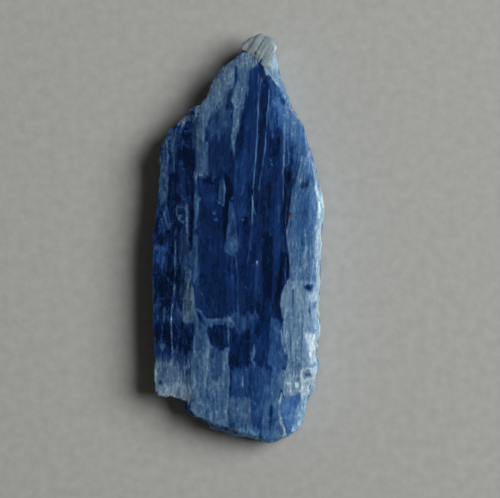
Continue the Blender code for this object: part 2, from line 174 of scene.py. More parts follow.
# The seam between the grain of matrix and the broad face, and the side of it where the grain lies.
GRAIN_SEAM = [
    (238, 51), (250, 52.5), (254, 55), (257, 58), (259.5, 61.5), (262.5, 65), (266, 67.5), (271, 69),
]
GRAIN_BED = [(225, 50), *GRAIN_SEAM, (300, 80), (300, 10), (225, 10)]
# The grain's paler half.
GRAIN_RIGHT = [(259, 30), (254, 44), (256, 56), (266, 74), (285, 70), (285, 30)]
# The frosted break at the tip's right side, and what lies beyond it.
TIP_BREAK = [
    (256, 50), (262, 58), (267, 64), (268, 70), (266, 74), (270, 79), (275, 84), (279, 90), (284, 98),
    (284, 104), (290, 114), (330, 114), (330, 30), (256, 30),
]
# The pale marking on the break.
TIP_WALL = [
    (264, 70), (262, 40), (286, 40), (294, 90), (290, 104), (284, 99), (280, 90), (278, 85), (274, 80),
    (270, 77), (266, 74),
]
# The rim of the broad face along the seam and the break, where the solid has a bevel.
TIP_RIM = [
    (252, 50), (256, 50), (262, 58), (267, 64), (268, 70), (268, 76), (275, 84), (279, 90), (284, 100),
    (288, 112), (284, 104), (278, 95), (274, 88), (268, 81), (263, 76), (258, 68), (254, 58),
]

# Patches of the faces, some of them painted highlights, glints and shadows, laid over one another in this
# order. Each row is a Patch's values.
PATCHES = {
    # the ground under the other patches
    "left column": (0.13, 0.2, 0.9, 3.0, 1.0, 1.0, [
        (150, 146), (182, 116), (193, 130), (193, 324), (150, 326),
    ]),
    "calm middle": (0.15, 0.1, 0.9, 3.0, 1.0, 0.15, [(200, 202), (224, 204), (226, 312), (200, 308)]),
    "calm right": (0.2, 0.1, 0.85, 3.0, 1.5, 0.3, [(248, 214), (262, 214), (262, 304), (248, 306)]),
    # the tip and the shoulder
    "tip veil": (0.3, 0.4, 0.6, 4.0, 2.0, 0.7, [
        (236, 50), (262, 52), (300, 112), (318, 172), (300, 166), (284, 100), (240, 90), (205, 130),
        (200, 105),
    ]),
    "tip frost": (0.57, 0.8, 0.9, 2.5, 1.2, 0.9, [
        (238, 48), (253, 49), (259, 60), (257, 67), (250, 69), (244, 76), (238, 72), (222, 80), (226, 62),
    ]),
    "tip haze": (0.4, 0.5, 0.7, 2.5, 1.2, 0.6, [(250, 70), (262, 68), (265, 84), (252, 84)]),
    "left slope": (0.57, 0.85, 0.9, 2.0, 1.2, 0.5, [
        (232, 58), (238, 64), (235, 86), (229, 92), (227, 106), (214, 112), (203, 106), (208, 84),
        (220, 68),
    ]),
    "left slope shade": (0.3, 0.8, 0.7, 2.5, 1.5, 0.5, [
        (228, 84), (233, 84), (230, 104), (222, 118), (214, 124), (212, 112), (222, 106),
    ]),
    "pale wedge": (0.53, 0.7, 0.9, 1.5, 1.2, 0.5, [
        (239, 66), (247, 66), (247, 88), (243, 104), (241, 120), (236, 138), (233, 154), (231, 148),
        (232, 126), (234, 108), (231, 98), (236, 84),
    ]),
    "shoulder ridge": (0.57, 0.8, 0.9, 1.8, 1.2, 0.5, [
        (198, 104), (207, 94), (214, 97), (213, 112), (209, 122), (205, 130), (204, 152), (197, 152),
        (197, 125),
    ]),
    "shoulder tail": (0.41, 0.7, 0.9, 1.5, 0.4, 0.5, [
        (199, 140), (208, 142), (209, 176), (200, 177), (196, 172),
    ]),
    "shoulder flank": (0.6, 0.8, 0.85, 2.0, 1.6, 1.3, [
        (182, 112), (200, 104), (199, 118), (188, 124), (176, 124),
    ]),
    "shoulder teal": (0.36, 0.9, 0.8, 2.0, 1.5, 0.5, [(191, 122), (199, 118), (198, 150), (192, 150)]),
    "upper teal": (0.33, 0.6, 0.8, 3.0, 2.0, 0.5, [
        (210, 112), (232, 106), (231, 132), (222, 138), (208, 140),
    ]),
    "upper middle": (0.19, 0.3, 0.8, 3.0, 2.0, 0.3, [(210, 138), (232, 134), (231, 172), (210, 176)]),
    "left corner": (0.42, 0.8, 0.8, 2.0, 1.2, 1.4, [
        (160, 142), (168, 136), (172, 142), (168, 152), (160, 152),
    ]),
    "left strip": (0.42, 0.75, 0.85, 1.2, 1.0, 0.8, [
        (159, 150), (168, 152), (167, 200), (160, 206), (157, 190),
    ]),
    "left upper": (0.28, 0.5, 0.7, 2.5, 1.5, 1.6, [
        (168, 134), (178, 126), (183, 140), (181, 154), (170, 152),
    ]),
    "left edge": (0.24, 0.3, 0.7, 3.0, 1.5, 1.0, [(150, 284), (158, 288), (160, 308), (150, 312)]),
    "left band": (0.17, 0.2, 0.7, 2.0, 1.5, 0.5, [(176, 148), (183, 152), (184, 206), (176, 210)]),
    # painted shadow of the step at the left seam
    "seam shadow": (0.04, 0.2, 0.85, 2.0, 1.0, 0.5, [
        (185, 148), (192, 150), (196, 164), (193, 180), (193, 236), (190, 252), (187, 236), (187, 200),
        (184, 180),
    ]),
    # the upper middle
    "dark top": (0.21, 0.05, 0.85, 1.5, 1.0, 0.15, [
        (250, 70), (258, 67), (260, 70), (258, 80), (257, 130), (252, 180), (243, 178), (244, 112),
    ]),
    # painted shadow in the groove left of a crest, over dark blue
    "dark wedge": (0.14, 0.2, 0.95, 1.2, 0.5, 0.15, [
        (259, 62), (266, 68), (270, 78), (269, 90), (266, 120), (263, 148), (259, 186), (254, 214),
        (254, 190), (258, 140),
    ]),
    "bright strip": (0.35, 0.0, 0.9, 2.0, 1.0, 0.5, [
        (269, 82), (278, 83), (283, 98), (283, 128), (270, 130), (267, 110),
    ]),
    "bright core": (0.45, 0.0, 0.8, 3.0, 1.0, 0.5, [(271, 87), (278, 87), (278, 106), (272, 108)]),
    "under strip": (0.21, 0.0, 0.8, 2.5, 2.0, 0.15, [(266, 130), (283, 130), (283, 172), (262, 176)]),
    "under strip dark": (0.1, 0.0, 0.8, 2.0, 1.5, 0.1, [(270, 138), (280, 138), (280, 156), (268, 158)]),
    "right slope": (0.37, 0.2, 0.9, 1.8, 1.2, 0.5, [
        (280, 97), (283, 92), (290, 103), (303, 122), (306, 138), (305, 150), (296, 160), (287, 166),
        (284, 140), (282, 110),
    ]),
    "right slope pale": (0.52, 0.6, 0.9, 2.5, 1.5, 0.45, [
        (285, 103), (292, 106), (303, 122), (301, 130), (291, 124), (285, 114),
    ]),
    "right slope foot": (0.24, 0.1, 0.85, 2.0, 1.5, 0.5, [
        (285, 148), (302, 148), (300, 164), (296, 172), (286, 172), (284, 160),
    ]),
    "right slope rim": (0.7, 0.45, 0.8, 1.4, 0.5, 0.5, [
        (283, 88), (292, 100), (306, 119), (302, 124), (290, 108), (283, 98),
    ]),
    "right tail": (0.63, 0.4, 0.95, 1.4, 0.7, 0.5, [
        (304, 131), (312, 138), (317, 156), (306, 158), (305.5, 144),
    ]),
    "right tail low": (0.52, 0.4, 0.95, 2.0, 0.7, 0.5, [
        (303, 156), (318, 156), (324, 176), (306, 176), (299, 170),
    ]),
    "tip wall": (0.7, 0.55, 1.0, 1.4, 0.5, 0.15, TIP_WALL),
    "tip wall low": (0.57, 0.5, 0.8, 3.0, 0.5, 0.3, [
        (266, 71), (284, 67), (292, 104), (284, 99), (280, 90), (278, 85), (274, 80), (270, 77),
    ]),
    # the middle
    "blue pocket": (0.2, 0.0, 0.9, 1.5, 0.3, 0.2, [(200, 179), (217, 180), (216, 202), (201, 203)]),
    "blue pocket top": (0.07, 0.0, 0.7, 2.0, 0.3, 0.5, [(203, 176), (217, 177), (216, 184), (203, 184)]),
    "pocket flake": (0.34, 0.7, 0.75, 1.2, 0.5, 0.5, [
        (220, 182), (223, 179), (224.5, 190), (223.5, 204), (221, 203), (218, 199),
    ]),
    "middle band": (0.26, 0.05, 0.8, 1.8, 1.5, 0.2, [
        (235, 160), (245, 148), (251, 160), (247, 217), (236, 215),
    ]),
    "middle dark": (0.02, 0.0, 0.95, 2.0, 1.2, 0.2, [
        (225, 174), (232, 180), (232, 196), (228, 250), (224, 250), (223, 204),
    ]),
    "mid wedge": (0.33, 0.5, 0.85, 1.5, 0.6, 0.5, [
        (229, 200), (233, 203), (236, 220), (238, 252), (232, 257), (224, 251), (225, 240), (228, 222),
    ]),
    "mid wedge foot": (0.42, 0.5, 0.8, 2.0, 1.0, 0.5, [(230, 238), (238, 236), (238, 253), (230, 252)]),
    # painted shadow beside the raised left edge of the crystal at the right
    "dark sliver": (0.07, 0.0, 0.95, 1.2, 0.8, 0.5, [
        (284, 172), (293, 170), (296, 178), (292, 194), (290, 206), (288, 224), (286, 242), (284, 250),
        (283, 214),
    ]),
    "sliver flake": (0.27, 0.2, 0.8, 1.5, 0.8, 0.9, [
        (291, 160), (298, 160), (297, 180), (292, 190), (291, 176),
    ]),
    "dark river": (0.06, 0.0, 0.85, 2.5, 1.5, 0.1, [
        (262, 232), (273, 236), (273, 262), (270, 300), (264, 300), (262, 270),
    ]),
    "river bank": (0.22, 0.0, 0.7, 2.0, 1.5, 0.2, [
        (274, 176), (281, 176), (281, 262), (276, 300), (271, 304), (274, 250),
    ]),
    # painted shadow beside the left edge of the crystal at the right, lower down
    "lower sliver": (0.05, 0.0, 0.95, 1.3, 0.8, 0.5, [
        (281, 250), (289, 254), (290, 282), (283, 288), (279, 300), (275, 304), (274, 298), (279, 280),
    ]),
    "left glow": (0.25, 0.1, 0.75, 3.0, 1.5, 0.9, [(153, 244), (168, 246), (168, 264), (152, 266)]),
    "left column dark": (0.09, 0.2, 0.8, 2.5, 1.5, 1.0, [
        (170, 226), (180, 224), (180, 300), (172, 302), (160, 300), (156, 280), (168, 270),
    ]),
    "left mottle": (0.24, 0.8, 0.7, 2.5, 2.0, 1.0, [
        (178, 232), (191, 228), (190, 262), (188, 290), (180, 320), (176, 318), (180, 280),
    ]),
    "flaked spot": (0.11, 0.4, 0.8, 3.0, 1.5, 1.6, [(172, 196), (190, 196), (191, 226), (170, 228)]),
    "scratched spot": (0.22, 0.4, 0.7, 3.0, 1.5, 1.5, [(159, 203), (167, 203), (171, 230), (160, 230)]),
    "seam band": (0.4, 0.5, 0.85, 1.5, 1.2, 0.5, [
        (192, 236), (198, 236), (198, 262), (196, 282), (190, 284), (189, 262),
    ]),
    "pale tongue": (0.5, 0.9, 0.95, 1.3, 0.9, 0.5, [
        (188, 278), (192, 284), (195, 304), (198, 321), (184, 323), (180, 312), (186, 292),
    ]),
    # the crystal at the right
    "right crystal": (0.47, 0.3, 0.95, 1.4, 0.7, 0.45, [
        (300, 163), (312, 158), (322, 180), (325, 205), (325, 290), (289, 284), (289, 252), (286, 238),
        (290, 220), (292, 196), (297, 178),
    ]),
    "right crystal haze": (0.4, 0.2, 0.7, 3.5, 2.0, 0.3, [(294, 196), (310, 190), (311, 240), (296, 244)]),
    "right crystal streaks": (0.53, 0.5, 0.7, 2.5, 2.0, 0.5, [
        (293, 264), (304, 250), (312, 240), (316, 240), (315, 284), (290, 284),
    ]),
    "right step": (0.66, 0.4, 0.95, 1.2, 0.7, 0.3, [
        (287, 281), (321, 280), (321, 372), (300, 376), (285, 372), (288, 360), (287, 352), (281, 340),
        (283, 322), (280, 306), (281, 294),
    ]),
    "right heel": (0.7, 0.6, 0.9, 1.5, 1.0, 0.4, [
        (275, 381), (280, 373), (288, 368), (302, 368), (302, 392), (296, 396), (284, 397), (281, 387),
    ]),
    "step shade": (0.5, 0.4, 0.75, 3.0, 1.5, 0.5, [(287, 358), (301, 360), (303, 374), (286, 378)]),
    "shade spot": (0.2, 0.5, 0.8, 1.0, 0.5, 0.5, [
        (300, 183), (309, 181), (309, 187), (304, 189), (300, 187),
    ]),
    # painted highlight along the right edge, over its pale bevel
    "right rim highlight": (0.76, 0.75, 0.9, 2.5, 0.6, 0.2, [
        (312, 160), (330, 172), (330, 386), (316, 380), (317, 300), (316.5, 274), (313.5, 256),
        (317.5, 205), (314, 180),
    ]),
    # painted highlight on the right side wall, paler to make up for its shading
    "right side": (0.84, 0.8, 0.9, 2.0, 0.4, 0.2, [
        (320.5, 186), (332, 186), (332, 390), (316, 386), (318, 340), (319.5, 300), (320.5, 240),
    ]),
    "dark spot": (0.12, 0.3, 0.95, 1.2, 0.5, 0.5, [
        (304, 287), (308, 285), (313, 285), (312, 290), (306, 291),
    ]),
    "pale flake": (0.74, 0.4, 0.75, 1.5, 0.8, 0.5, [(304, 293), (317, 292), (318, 304), (311, 303)]),
    "glint": (0.74, 0.5, 0.9, 2.0, 1.0, 0.5, [
        (303, 333), (316, 336), (316, 352), (314, 367), (308, 366), (308, 348),
    ]),
    "glint core": (0.85, 0.4, 0.9, 2.0, 0.8, 0.5, [
        (309, 343), (315, 338), (316, 350), (316, 364), (310, 365),
    ]),
    "right heel stone": (0.9, 0.8, 0.9, 1.5, 1.0, 0.25, [
        (301, 368), (320, 368), (318, 384), (313, 400), (306, 397), (301, 390),
    ]),
    "heel hollow": (0.58, 0.9, 0.7, 2.0, 1.0, 0.3, [(302, 371), (311, 370), (312, 378), (304, 379)]),
    "chip": (0.48, 0.1, 0.9, 1.5, 0.8, 0.25, [
        (282, 398), (300, 392), (309, 392), (305, 420), (292, 440), (284, 440), (280, 420),
    ]),
    "chip core": (0.45, 0.0, 0.7, 3.0, 1.0, 0.2, [(287, 400), (298, 400), (296, 424), (287, 424)]),
    "chip edge": (0.84, 0.3, 0.9, 2.0, 1.0, 0.5, [
        (300, 392), (312, 390), (309, 424), (298, 440), (288, 440), (294, 426), (301, 410),
    ]),
    # the foot
    "foot middle": (0.53, 0.6, 0.9, 1.5, 1.6, 0.5, [
        (191, 336), (206, 326), (229, 330), (229, 400), (229, 429), (206, 424), (190, 413),
    ]),
    "foot middle top": (0.33, 0.5, 0.9, 2.5, 1.6, 0.5, [(194, 318), (208, 326), (206, 352), (194, 352)]),
    "foot middle shade": (0.28, 0.5, 0.95, 2.0, 1.6, 0.5, [
        (210, 348), (223, 350), (221, 378), (216, 384), (211, 376),
    ]),
    "left dark block": (0.11, 0.1, 0.8, 2.0, 1.2, 1.0, [
        (153, 322), (192, 322), (193.5, 354), (186, 357), (176, 354), (168, 352), (162, 356), (153, 354),
    ]),
    "foot block top": (0.34, 0.8, 0.8, 3.0, 2.2, 0.5, [
        (153, 357), (162, 358), (168, 355), (176, 358), (190, 360), (191, 374), (153, 374),
    ]),
    "foot block": (0.54, 0.9, 0.95, 2.5, 2.0, 0.4, [
        (153, 364), (170, 362), (190, 368), (191, 404), (172, 401), (153, 397),
    ]),
    "foot block mottle": (0.34, 0.5, 0.8, 2.5, 2.0, 1.0, [
        (171, 350), (191, 350), (190, 376), (182, 377), (174, 370),
    ]),
    "foot block low": (0.76, 0.85, 0.8, 3.0, 1.5, 0.4, [
        (156, 387), (190, 383), (191, 402), (172, 401), (155, 397),
    ]),
    "crack bank": (0.45, 0.5, 0.85, 1.5, 0.8, 0.5, [
        (203, 318), (214, 319), (226, 318), (233, 314), (234, 328), (222, 325), (207, 330),
    ]),
    "crack mottle": (0.38, 0.4, 0.7, 2.0, 2.0, 0.5, [
        (233, 314), (252, 314), (258, 318), (256, 328), (234, 334),
    ]),
    "foot pocket": (0.1, 0.1, 0.9, 1.5, 0.8, 0.5, [
        (207, 326), (226, 324), (229, 346), (220, 352), (212, 346), (208, 336),
    ]),
    "foot dark": (0.11, 0.0, 0.9, 2.0, 1.2, 0.2, [
        (232, 336), (250, 328), (252, 366), (240, 372), (232, 362),
    ]),
    "foot blue": (0.17, 0.0, 0.8, 3.0, 1.5, 0.25, [
        (250, 322), (278, 322), (270, 352), (254, 364), (251, 350),
    ]),
    "foot glow": (0.4, 0.1, 0.8, 2.0, 1.2, 0.35, [
        (270, 318), (282, 322), (286, 352), (286, 366), (276, 376), (267, 362), (270, 340),
    ]),
    "lower middle": (0.36, 0.15, 0.8, 2.5, 1.5, 0.35, [
        (231, 370), (254, 364), (272, 372), (280, 382), (280, 440), (252, 434), (231, 400),
    ]),
    "lower right": (0.5, 0.1, 0.8, 3.0, 1.5, 0.4, [
        (272, 366), (284, 372), (280, 400), (281, 424), (286, 442), (270, 442), (275, 420), (270, 398),
    ]),
    "lower block": (0.48, 0.6, 0.8, 1.8, 1.2, 0.5, [(229, 398), (251, 398), (252, 432), (229, 429)]),
    "lower stripe": (0.44, 0.2, 0.8, 1.5, 1.2, 0.5, [(264, 386), (270, 384), (271, 440), (263, 442)]),
    "foot edge": (0.52, 0.2, 0.7, 2.0, 1.5, 0.5, [(256, 430), (284, 428), (284, 446), (258, 446)]),
    "ledge edge": (0.56, 0.5, 0.8, 1.5, 1.0, 0.5, [
        (228, 427), (240, 429), (258, 434), (258, 446), (226, 440),
    ]),
}

# Thin lines: crack edges, plate edges and scratches, and some painted highlights and glints. Each row is a
# Stroke's values.
STROKES = [
    # the tip
    (0.56, 0.3, 0.8, 0.6, [(288.5, 122), (288.5, 162)]),
    (0.48, 0.3, 0.8, 0.6, [(295, 122), (294.5, 160)]),
    (0.5, 0.3, 0.8, 0.6, [(300, 128), (299, 156)]),
    (0.16, 0.1, 0.8, 0.8, [(297, 134), (296, 166)]),
    (0.14, 0.1, 0.8, 0.7, [(286, 140), (286, 172)]),
    (0.14, 0.2, 0.8, 1.2, [(236, 66), (236, 80), (231, 96), (226, 110)]),
    (0.56, 0.6, 0.6, 0.8, [(224, 66), (216, 78), (209, 90)]),
    (0.55, 0.5, 0.7, 0.6, [(247, 66), (248, 80), (247, 96)]),
    (0.5, 0.6, 0.5, 0.6, [(216, 82), (214, 118)]),
    # painted highlights on the lit wall and the crest of the groove at the dark wedge, in these three
    (0.55, 0.4, 0.7, 0.5, [(259, 74), (258, 100), (257.5, 138)]),
    (0.6, 0.4, 0.8, 0.6, [(257, 138), (255, 165), (253, 188)]),
    (0.6, 0.3, 0.85, 0.6, [(269, 90), (267, 120), (265, 145), (262, 170), (259, 190)]),
    (0.8, 0.7, 0.8, 0.9, [(267, 70), (272, 78), (279, 86)]),
    (0.58, 0.4, 0.9, 0.6, [(284.5, 124), (284, 150), (283.5, 164)]),
    (0.68, 0.5, 0.9, 0.7, [(283.5, 156), (283.5, 168)]),
    (0.56, 0.4, 0.9, 0.6, [(283, 166), (283, 202)]),
    (0.42, 0.3, 0.7, 0.8, [(286.5, 104), (286.5, 136)]),
    (0.22, 0.1, 0.7, 0.8, [(290, 108), (289, 150)]),
    (0.54, 0.4, 0.8, 0.5, [(291.5, 126), (291.5, 142)]),
    (0.4, 0.6, 0.6, 0.9, [(297, 122), (296, 158)]),
    (0.24, 0.1, 0.7, 0.8, [(293, 136), (292, 158)]),
    (0.44, 0.3, 0.7, 0.9, [(301, 128), (299, 160)]),
    (0.62, 0.5, 0.7, 0.9, [(305, 136), (309, 150), (314, 166), (318, 182)]),
    (0.66, 0.6, 0.7, 1.0, [(233, 57), (224, 64), (219, 71), (213, 80), (209, 90)]),
    (0.5, 0.6, 0.6, 0.9, [(207, 92), (200, 104)]),
    # the shoulder
    (0.5, 0.7, 0.8, 0.7, [(167, 150), (167.5, 178), (166.5, 204)]),
    (0.04, 0.1, 0.85, 0.9, [(169.5, 150), (170, 180), (169, 206)]),
    (0.46, 0.7, 0.7, 1.0, [(198, 106), (190, 109), (184, 115), (176, 123)]),
    (0.36, 0.6, 0.6, 0.9, [(174, 125), (165, 136), (161, 143)]),
    (0.46, 0.8, 0.8, 1.2, [(175, 130), (173, 146), (174, 172)]),
    (0.5, 0.8, 0.9, 1.8, [(162, 143), (163, 152)]),
    (0.44, 0.8, 0.7, 0.8, [(171, 127), (172, 140)]),
    # painted highlight on the edge of the step at the left seam, in this and the next stroke
    (0.6, 0.6, 0.8, 0.8, [(198, 158), (197, 170), (196, 179)]),
    (0.49, 0.6, 0.9, 1.3, [(197, 180), (197.5, 204), (195, 228)]),
    (0.52, 0.6, 0.8, 1.3, [(183, 118), (190, 119), (196, 116)]),
    (0.05, 0.1, 0.8, 2.6, [(185, 130), (187, 142)]),
    (0.46, 0.8, 0.6, 0.7, [(166, 204), (165, 216), (168, 228)]),
    (0.5, 0.7, 0.7, 0.8, [(183, 119), (190, 120), (196, 116)]),
    # painted highlight on the edge of the step at the left seam
    (0.52, 0.7, 0.85, 1.4, [(198, 112), (197, 150), (196, 180), (195, 205)]),
    (0.44, 0.6, 0.7, 0.9, [(195, 200), (194, 220), (193, 244)]),
    (0.45, 0.6, 0.6, 0.8, [(205, 112), (204, 150)]),
    (0.3, 0.7, 0.6, 0.6, [(202, 112), (201, 146)]),
    (0.46, 0.6, 0.7, 0.6, [(201, 178), (208, 176), (216, 177)]),
    # the middle
    (0.6, 0.6, 0.9, 0.7, [(224, 180), (225, 192), (223.5, 205)]),
    (0.54, 0.6, 0.8, 0.8, [(217, 201), (223, 205)]),
    (0.6, 0.6, 0.8, 0.9, [(193, 178), (197, 176), (202, 175)]),
    (0.64, 0.4, 0.85, 0.6, [(252, 196), (253, 206), (255, 214)]),
    (0.6, 0.4, 0.85, 0.6, [(253, 200), (252, 218), (251, 250)]),
    (0.5, 0.3, 0.7, 0.5, [(250, 240), (248, 262), (246.5, 276)]),
    (0.58, 0.3, 0.9, 0.8, [(302, 156), (299, 172), (293, 190), (290.5, 206), (290, 216)]),
    (0.66, 0.5, 0.9, 0.8, [(290, 216), (287, 234), (289, 246), (290, 262)]),
    (0.36, 0.1, 0.6, 0.6, [(278, 186), (278, 235)]),
    (0.34, 0.1, 0.6, 0.8, [(237, 162), (235, 190), (235, 214)]),
    (0.44, 0.7, 0.8, 0.8, [(175, 240), (175, 262), (174, 290)]),
    (0.48, 0.7, 0.9, 0.9, [(164, 308), (164, 323)]),
    (0.5, 0.5, 0.9, 0.8, [(172, 304), (171.5, 320), (171.5, 336)]),
    (0.68, 0.6, 0.95, 0.9, [(171.5, 318), (171.5, 330), (171.5, 343)]),
    (0.56, 0.6, 0.9, 0.7, [(172, 344), (172.5, 350), (172, 354)]),
    (0.03, 0.1, 0.9, 1.8, [(178, 262), (178, 276)]),
    (0.03, 0.1, 0.9, 1.6, [(169, 194), (168, 206)]),
    (0.03, 0.1, 0.9, 1.4, [(192, 204), (192, 222), (191, 250)]),
    (0.44, 0.7, 0.8, 0.8, [(187, 204), (187, 220), (188, 246)]),
    (0.46, 0.9, 0.8, 0.8, [(177, 206), (176, 214), (179, 220), (184, 222)]),
    (0.62, 0.5, 0.9, 0.9, [(190, 271), (190, 279)]),
    (0.54, 0.7, 0.9, 0.8, [(175, 284), (174, 296), (172, 306)]),
    (0.32, 0.5, 0.7, 0.5, [(153, 273), (160, 271), (167, 277), (173, 287)]),
    (0.36, 0.6, 0.6, 0.5, [(153, 306), (165, 303)]),
    (0.5, 0.6, 0.9, 1.0, [(195, 309), (200, 311), (204, 318)]),
    (0.54, 0.7, 0.95, 1.3, [(203, 319), (214, 320), (225, 319.5), (232, 321)]),
    (0.4, 0.5, 0.8, 0.6, [(236, 256), (238, 290), (238, 322)]),
    (0.48, 0.5, 0.9, 0.8, [(228, 314), (229, 344)]),
    (0.28, 0.1, 0.6, 0.7, [(216, 240), (215, 258)]),
    (0.5, 0.3, 0.8, 0.5, [(286.5, 258), (285.5, 284)]),
    (0.3, 0.1, 0.6, 0.8, [(232, 258), (233, 312)]),
    (0.28, 0.1, 0.6, 0.8, [(256, 262), (256, 300)]),
    (0.42, 0.4, 0.7, 0.5, [(160, 222), (167, 206)]),
    (0.42, 0.4, 0.7, 0.5, [(162, 210), (169, 228)]),
    # the crystal at the right
    # painted highlight on the right edge
    (0.7, 0.4, 0.8, 1.2, [(312, 162), (315, 176), (318, 198)]),
    (0.62, 0.3, 0.8, 0.7, [(303, 168), (300, 184)]),
    (0.62, 0.3, 0.7, 0.6, [(297, 186), (295, 205)]),
    # painted highlight along the right edge, whitest in the next stroke, in these three
    (0.78, 0.6, 0.6, 1.5, [(319, 188), (319.5, 220), (319, 262), (318, 300)]),
    (0.96, 0.5, 1.0, 1.3, [(319, 202), (319.5, 210), (319, 218)]),
    (0.76, 0.4, 0.85, 1.6, [(317, 296), (317, 335), (316, 372)]),
    (0.3, 0.6, 0.8, 1.0, [(293, 290), (293, 316)]),
    (0.66, 0.4, 0.6, 0.7, [(299, 232), (299, 280)]),
    (0.62, 0.4, 0.6, 0.8, [(305, 230), (306, 282)]),
    (0.34, 0.3, 0.7, 0.7, [(302, 240), (303, 280)]),
    (0.36, 0.3, 0.6, 0.7, [(309, 246), (309, 282)]),
    (0.68, 0.5, 0.7, 0.9, [(297, 290), (297, 330), (298, 360)]),
    (0.44, 0.5, 0.6, 0.8, [(302, 300), (302, 345)]),
    (0.46, 0.5, 0.6, 0.7, [(290, 330), (291, 366)]),
    (0.3, 0.4, 0.8, 0.7, [(316, 302), (314, 308)]),
    (0.7, 0.5, 0.8, 0.8, [(281, 330), (283, 345), (286, 354)]),
    (0.8, 0.5, 1.0, 1.1, [(282, 393), (280, 404), (280, 420), (284, 430), (287, 438)]),
    (0.68, 0.5, 0.9, 0.9, [(282, 395), (288, 391), (296, 391), (301, 386)]),
    # the foot
    # painted glints on the heel, in these four
    (0.74, 0.5, 0.9, 0.5, [(285, 384), (291, 383)]),
    (0.78, 0.5, 0.9, 0.6, [(293, 388), (297, 385)]),
    (0.7, 0.5, 0.9, 0.5, [(288, 378), (290, 374)]),
    (0.74, 0.5, 0.9, 0.5, [(297, 378), (300, 375)]),
    (0.74, 0.6, 0.95, 1.0, [(205, 379), (204.5, 383), (205, 388)]),
    (0.78, 0.85, 0.95, 1.0, [(155.5, 358), (155.5, 372), (155.5, 386)]),
    (0.58, 0.4, 0.8, 0.7, [(229, 428.5), (240, 429.5), (250, 431), (255, 436)]),
    (0.72, 0.8, 0.95, 1.4, [(156, 388), (160, 394), (171, 396), (184, 398), (191, 400)]),
    (0.6, 0.6, 0.9, 1.0, [(208, 342), (208, 370)]),
    (0.5, 0.5, 0.7, 1.0, [(204, 327), (209, 344)]),
    (0.6, 0.6, 0.8, 0.8, [(228, 378), (228, 396)]),
    (0.54, 0.5, 0.6, 0.7, [(224, 352), (226, 374)]),
    (0.54, 0.6, 0.6, 0.9, [(196, 360), (195, 408)]),
    (0.28, 0.4, 0.6, 0.8, [(213, 396), (214, 420)]),
    (0.28, 0.4, 0.6, 0.8, [(221, 396), (222, 424)]),
    (0.26, 0.4, 0.6, 0.7, [(217, 392), (218, 412)]),
    (0.62, 0.6, 0.9, 1.0, [(191, 409), (200, 417), (212, 421), (227, 426)]),
    (0.58, 0.6, 0.9, 0.9, [(228, 427), (240, 430), (251, 431), (258, 437)]),
    (0.66, 0.6, 0.9, 0.9, [(227.5, 396), (226.5, 412), (225, 426)]),
    (0.52, 0.5, 0.8, 0.8, [(229, 399), (237, 400), (239, 406), (235, 414)]),
    (0.55, 0.6, 0.9, 1.4, [(253.5, 346), (254, 352), (253, 358)]),
    (0.62, 0.5, 0.9, 0.5, [(250, 351), (251, 358), (255, 366)]),
    (0.5, 0.5, 0.8, 0.5, [(249, 360), (256, 363)]),
    # a painted glint
    (0.78, 0.5, 0.9, 0.5, [(242, 377), (243, 387)]),
    (0.12, 0.0, 0.7, 1.2, [(260, 418), (260, 440)]),
    (0.12, 0.0, 0.8, 1.5, [(271, 406), (270, 430)]),
    (0.54, 0.4, 0.8, 0.7, [(249, 400), (249.5, 418), (250, 436)]),
    (0.22, 0.2, 0.6, 0.6, [(240, 340), (262, 341)]),
]

# Small flecks: clay, dust and bruises, and some painted glints. Each row is a Fleck's values.
FLECKS = [
    (0.48, 0.6, (214, 212), (1.6, 1.8)),
    (0.46, 0.6, (216, 219), (2.4, 1.3)),
    (0.48, 0.7, (186, 209), (1.2, 4.0)),
    (0.42, 0.9, (180, 217), (2.2, 2.6)),
    (0.44, 0.8, (178, 207), (1.6, 1.4)),
    (0.4, 0.8, (170, 224), (0.8, 3.0)),
    (0.44, 0.7, (243, 220), (1.4, 1.6)),
    # a painted glint
    (0.8, 0.4, (257, 262), (0.8, 2.4)),
    (0.46, 0.5, (246, 288), (1.0, 1.4)),
    (0.42, 0.6, (202, 295), (0.9, 1.0)),
    (0.42, 0.8, (164, 313), (0.9, 5.5)),
    (0.44, 0.8, (162, 346), (2.2, 3.0)),
    (0.48, 0.7, (155, 292), (1.2, 3.0)),
    (0.42, 0.7, (154, 305), (1.5, 1.5)),
    # painted glints on the heel, in these four
    (0.92, 0.4, (297, 385), (1.6, 3.0)),
    (0.78, 0.4, (291, 384), (1.0, 1.6)),
    (0.78, 0.4, (284, 384), (1.2, 1.2)),
    (0.74, 0.4, (289, 391), (1.2, 1.4)),
    (0.8, 0.4, (284, 435), (1.0, 1.6)),
    (0.74, 0.4, (281, 418), (0.7, 1.2)),
    (0.52, 0.5, (270, 161), (1.0, 1.4)),
    (0.52, 0.5, (271, 165), (0.9, 1.0)),
    (0.42, 0.7, (273, 134), (1.2, 2.4)),
    (0.44, 0.6, (240, 99), (2.0, 2.0)),
    (0.4, 0.8, (262, 80), (1.8, 2.6)),
    (0.36, 0.8, (264, 86), (1.4, 1.6)),
    (0.56, 0.5, (196, 174), (1.6, 2.6)),
    (0.56, 0.5, (199, 199), (1.8, 2.0)),
    (0.46, 0.5, (232, 198), (1.4, 1.4)),
    (0.16, 0.2, (192, 112), (2.2, 1.6)),
    (0.1, 0.2, (216, 107), (1.4, 1.6)),
    (0.18, 0.2, (287, 169), (1.4, 1.2)),
    (0.16, 0.5, (161, 383), (1.6, 2.4)),
    (0.38, 0.8, (308, 375), (3.0, 1.3)),
    (0.4, 0.8, (311, 388), (1.4, 2.4)),
    (0.58, 0.6, (252, 354), (0.8, 1.4)),
    (0.3, 0.4, (309, 312), (0.8, 3.0)),
]
# Specks of rust, as a middle and radii.
STAINS = [((290, 214), (1.0, 2.2)), ((289, 217.5), (0.8, 0.9))]
GRAIN_STAIN = ((255.5, 53.5), (1.6, 2.2))


